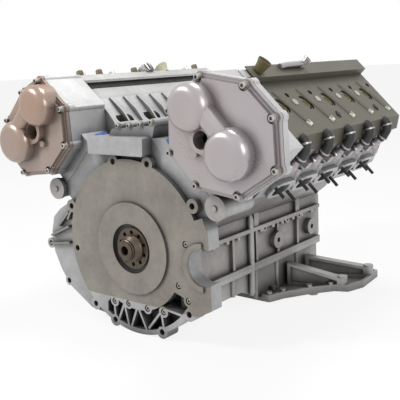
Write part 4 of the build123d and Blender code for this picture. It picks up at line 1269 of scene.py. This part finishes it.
@dataclass(frozen=True)
class Stage:
    """Floor, lamps, world and camera."""

    azimuth: float = 39.07
    elevation: float = 11.32
    roll: float = -2.64
    place: Point = (1.0022, -0.9932, 0.3763)
    lens: float = 62.7
    shift: float = -0.0085
    sensor: float = 36.0
    far_end: float = 100.0
    reach: float = 30.0
    white_share: float = 0.86
    surround: Pair = (0.42, 1.0)
    lamps: tuple[Lamp, ...] = (
        Lamp("key", (-1.4, -1.6, 1.9), (0, 0.1, 0.1), 0.45, 40),
        Lamp("fill", (1.9, -0.6, 0.9), (0.1, 0.2, 0.1), 1.0, 11),
        Lamp("top", (0.1, 0.6, 2.2), (0, 0.3, 0.2), 0.8, 26),
    )

    def build(self, low: float) -> None:
        """Builds the whole stage.

        Args:
            low: The height of the floor.
        """
        self.floor(low)
        self.world()
        for lamp in self.lamps:
            lamp.build()
        self.camera()

    def floor(self, low: float) -> None:
        """A wide pale floor that keeps the shadow but looks white."""
        data = bpy.data.meshes.new("floor")
        turns = ((-1, -1), (1, -1), (1, 1), (-1, 1))
        corners = [(self.reach * x, self.reach * y, low) for x, y in turns]
        data.from_pydata(corners, [], [(0, 1, 2, 3)])
        made = bpy.data.objects.new("floor", data)
        bpy.context.scene.collection.objects.link(made)
        graph = Graph("floor_look")
        path = graph.node("ShaderNodeLightPath", {}, {})
        seen = graph.out(path, "Is Camera Ray") + graph.out(path, "Is Glossy Ray")
        seen = (seen + graph.out(path, "Is Transmission Ray")).clamped()
        plain = graph.node("ShaderNodeBsdfDiffuse", {}, {"Color": (0.9, 0.9, 0.9)})
        white = graph.node("ShaderNodeEmission", {}, {"Color": (1.0, 1.0, 1.0), "Strength": 1.0})
        both = graph.node("ShaderNodeMixShader", {}, {0: seen * self.white_share})
        graph.tree.links.new(plain.outputs[0], both.inputs[1])
        graph.tree.links.new(white.outputs[0], both.inputs[2])
        graph.tree.links.new(both.outputs[0], graph.output.inputs["Surface"])
        data.materials.append(graph.material)
        made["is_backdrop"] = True

    def world(self) -> None:
        """A soft pale surround that is white where it is seen or mirrored."""
        world = bpy.data.worlds.new("surround")
        world.use_nodes = True
        tree = world.node_tree
        tree.nodes.clear()
        out = tree.nodes.new("ShaderNodeOutputWorld")
        back = tree.nodes.new("ShaderNodeBackground")
        path = tree.nodes.new("ShaderNodeLightPath")
        sums = []
        for name in ("Is Glossy Ray", "Is Transmission Ray"):
            add = tree.nodes.new("ShaderNodeMath")
            add.operation = "MAXIMUM"
            tree.links.new(sums[-1] if sums else path.outputs["Is Camera Ray"], add.inputs[0])
            tree.links.new(path.outputs[name], add.inputs[1])
            sums.append(add.outputs[0])
        level = tree.nodes.new("ShaderNodeMapRange")
        level.inputs["To Min"].default_value = self.surround[0]
        level.inputs["To Max"].default_value = self.surround[1]
        tree.links.new(sums[-1], level.inputs["Value"])
        tree.links.new(level.outputs[0], back.inputs["Strength"])
        back.inputs["Color"].default_value = (1.0, 1.0, 1.0, 1.0)
        tree.links.new(back.outputs[0], out.inputs["Surface"])
        bpy.context.scene.world = world

    def camera(self) -> None:
        """The photo's view."""
        az, el, roll = (math.radians(v) for v in (self.azimuth, self.elevation, self.roll))
        back = Vector((math.sin(az) * math.cos(el), -math.cos(az) * math.cos(el), math.sin(el)))
        right = (-back).cross(Vector((0, 0, 1))).normalized()
        up = right.cross(-back)
        across = right * math.cos(roll) + up * math.sin(roll)
        above = up * math.cos(roll) - right * math.sin(roll)
        data = bpy.data.cameras.new("view")
        data.lens = self.lens
        data.sensor_width = self.sensor
        data.shift_x = self.shift
        data.clip_end = self.far_end
        made = bpy.data.objects.new("view", data)
        bpy.context.scene.collection.objects.link(made)
        turned = Matrix((across, above, back)).transposed().to_4x4()
        made.matrix_world = Matrix.Translation(self.place) @ turned
        bpy.context.scene.camera = made


def dress_nodes() -> None:
    """Gives every node of the frame its finish."""
    for name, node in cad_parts.items():
        finish = finish_of(name)
        if node.material_slots:
            for slot in node.material_slots:
                slot.material = finish.material()
        else:
            node.data.materials.append(finish.material())
        LOG.info("node %s: %s", name, finish.name)


def as_lists(bounds: Sequence[Vector]) -> list[list[float]]:
    """A box as plain lists of numbers."""
    return [[float(number) for number in corner] for corner in bounds]


def main() -> None:
    """Builds the engine's looks."""
    logging.basicConfig(level=logging.INFO, format="%(name)s: %(message)s")
    solid_box = as_lists(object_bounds())
    bpy.context.scene.view_settings.view_transform = "Standard"
    dress_nodes()
    TimingEnd().build()
    for side in Side:
        ShieldTrim(side).build()
        HeadFlank(side).build()
    RidgeFittings().build()
    CrankEnd().build()
    LowerFlank().build()
    Stage().build(solid_box[0][2])


if __name__ == "__main__":
    main()
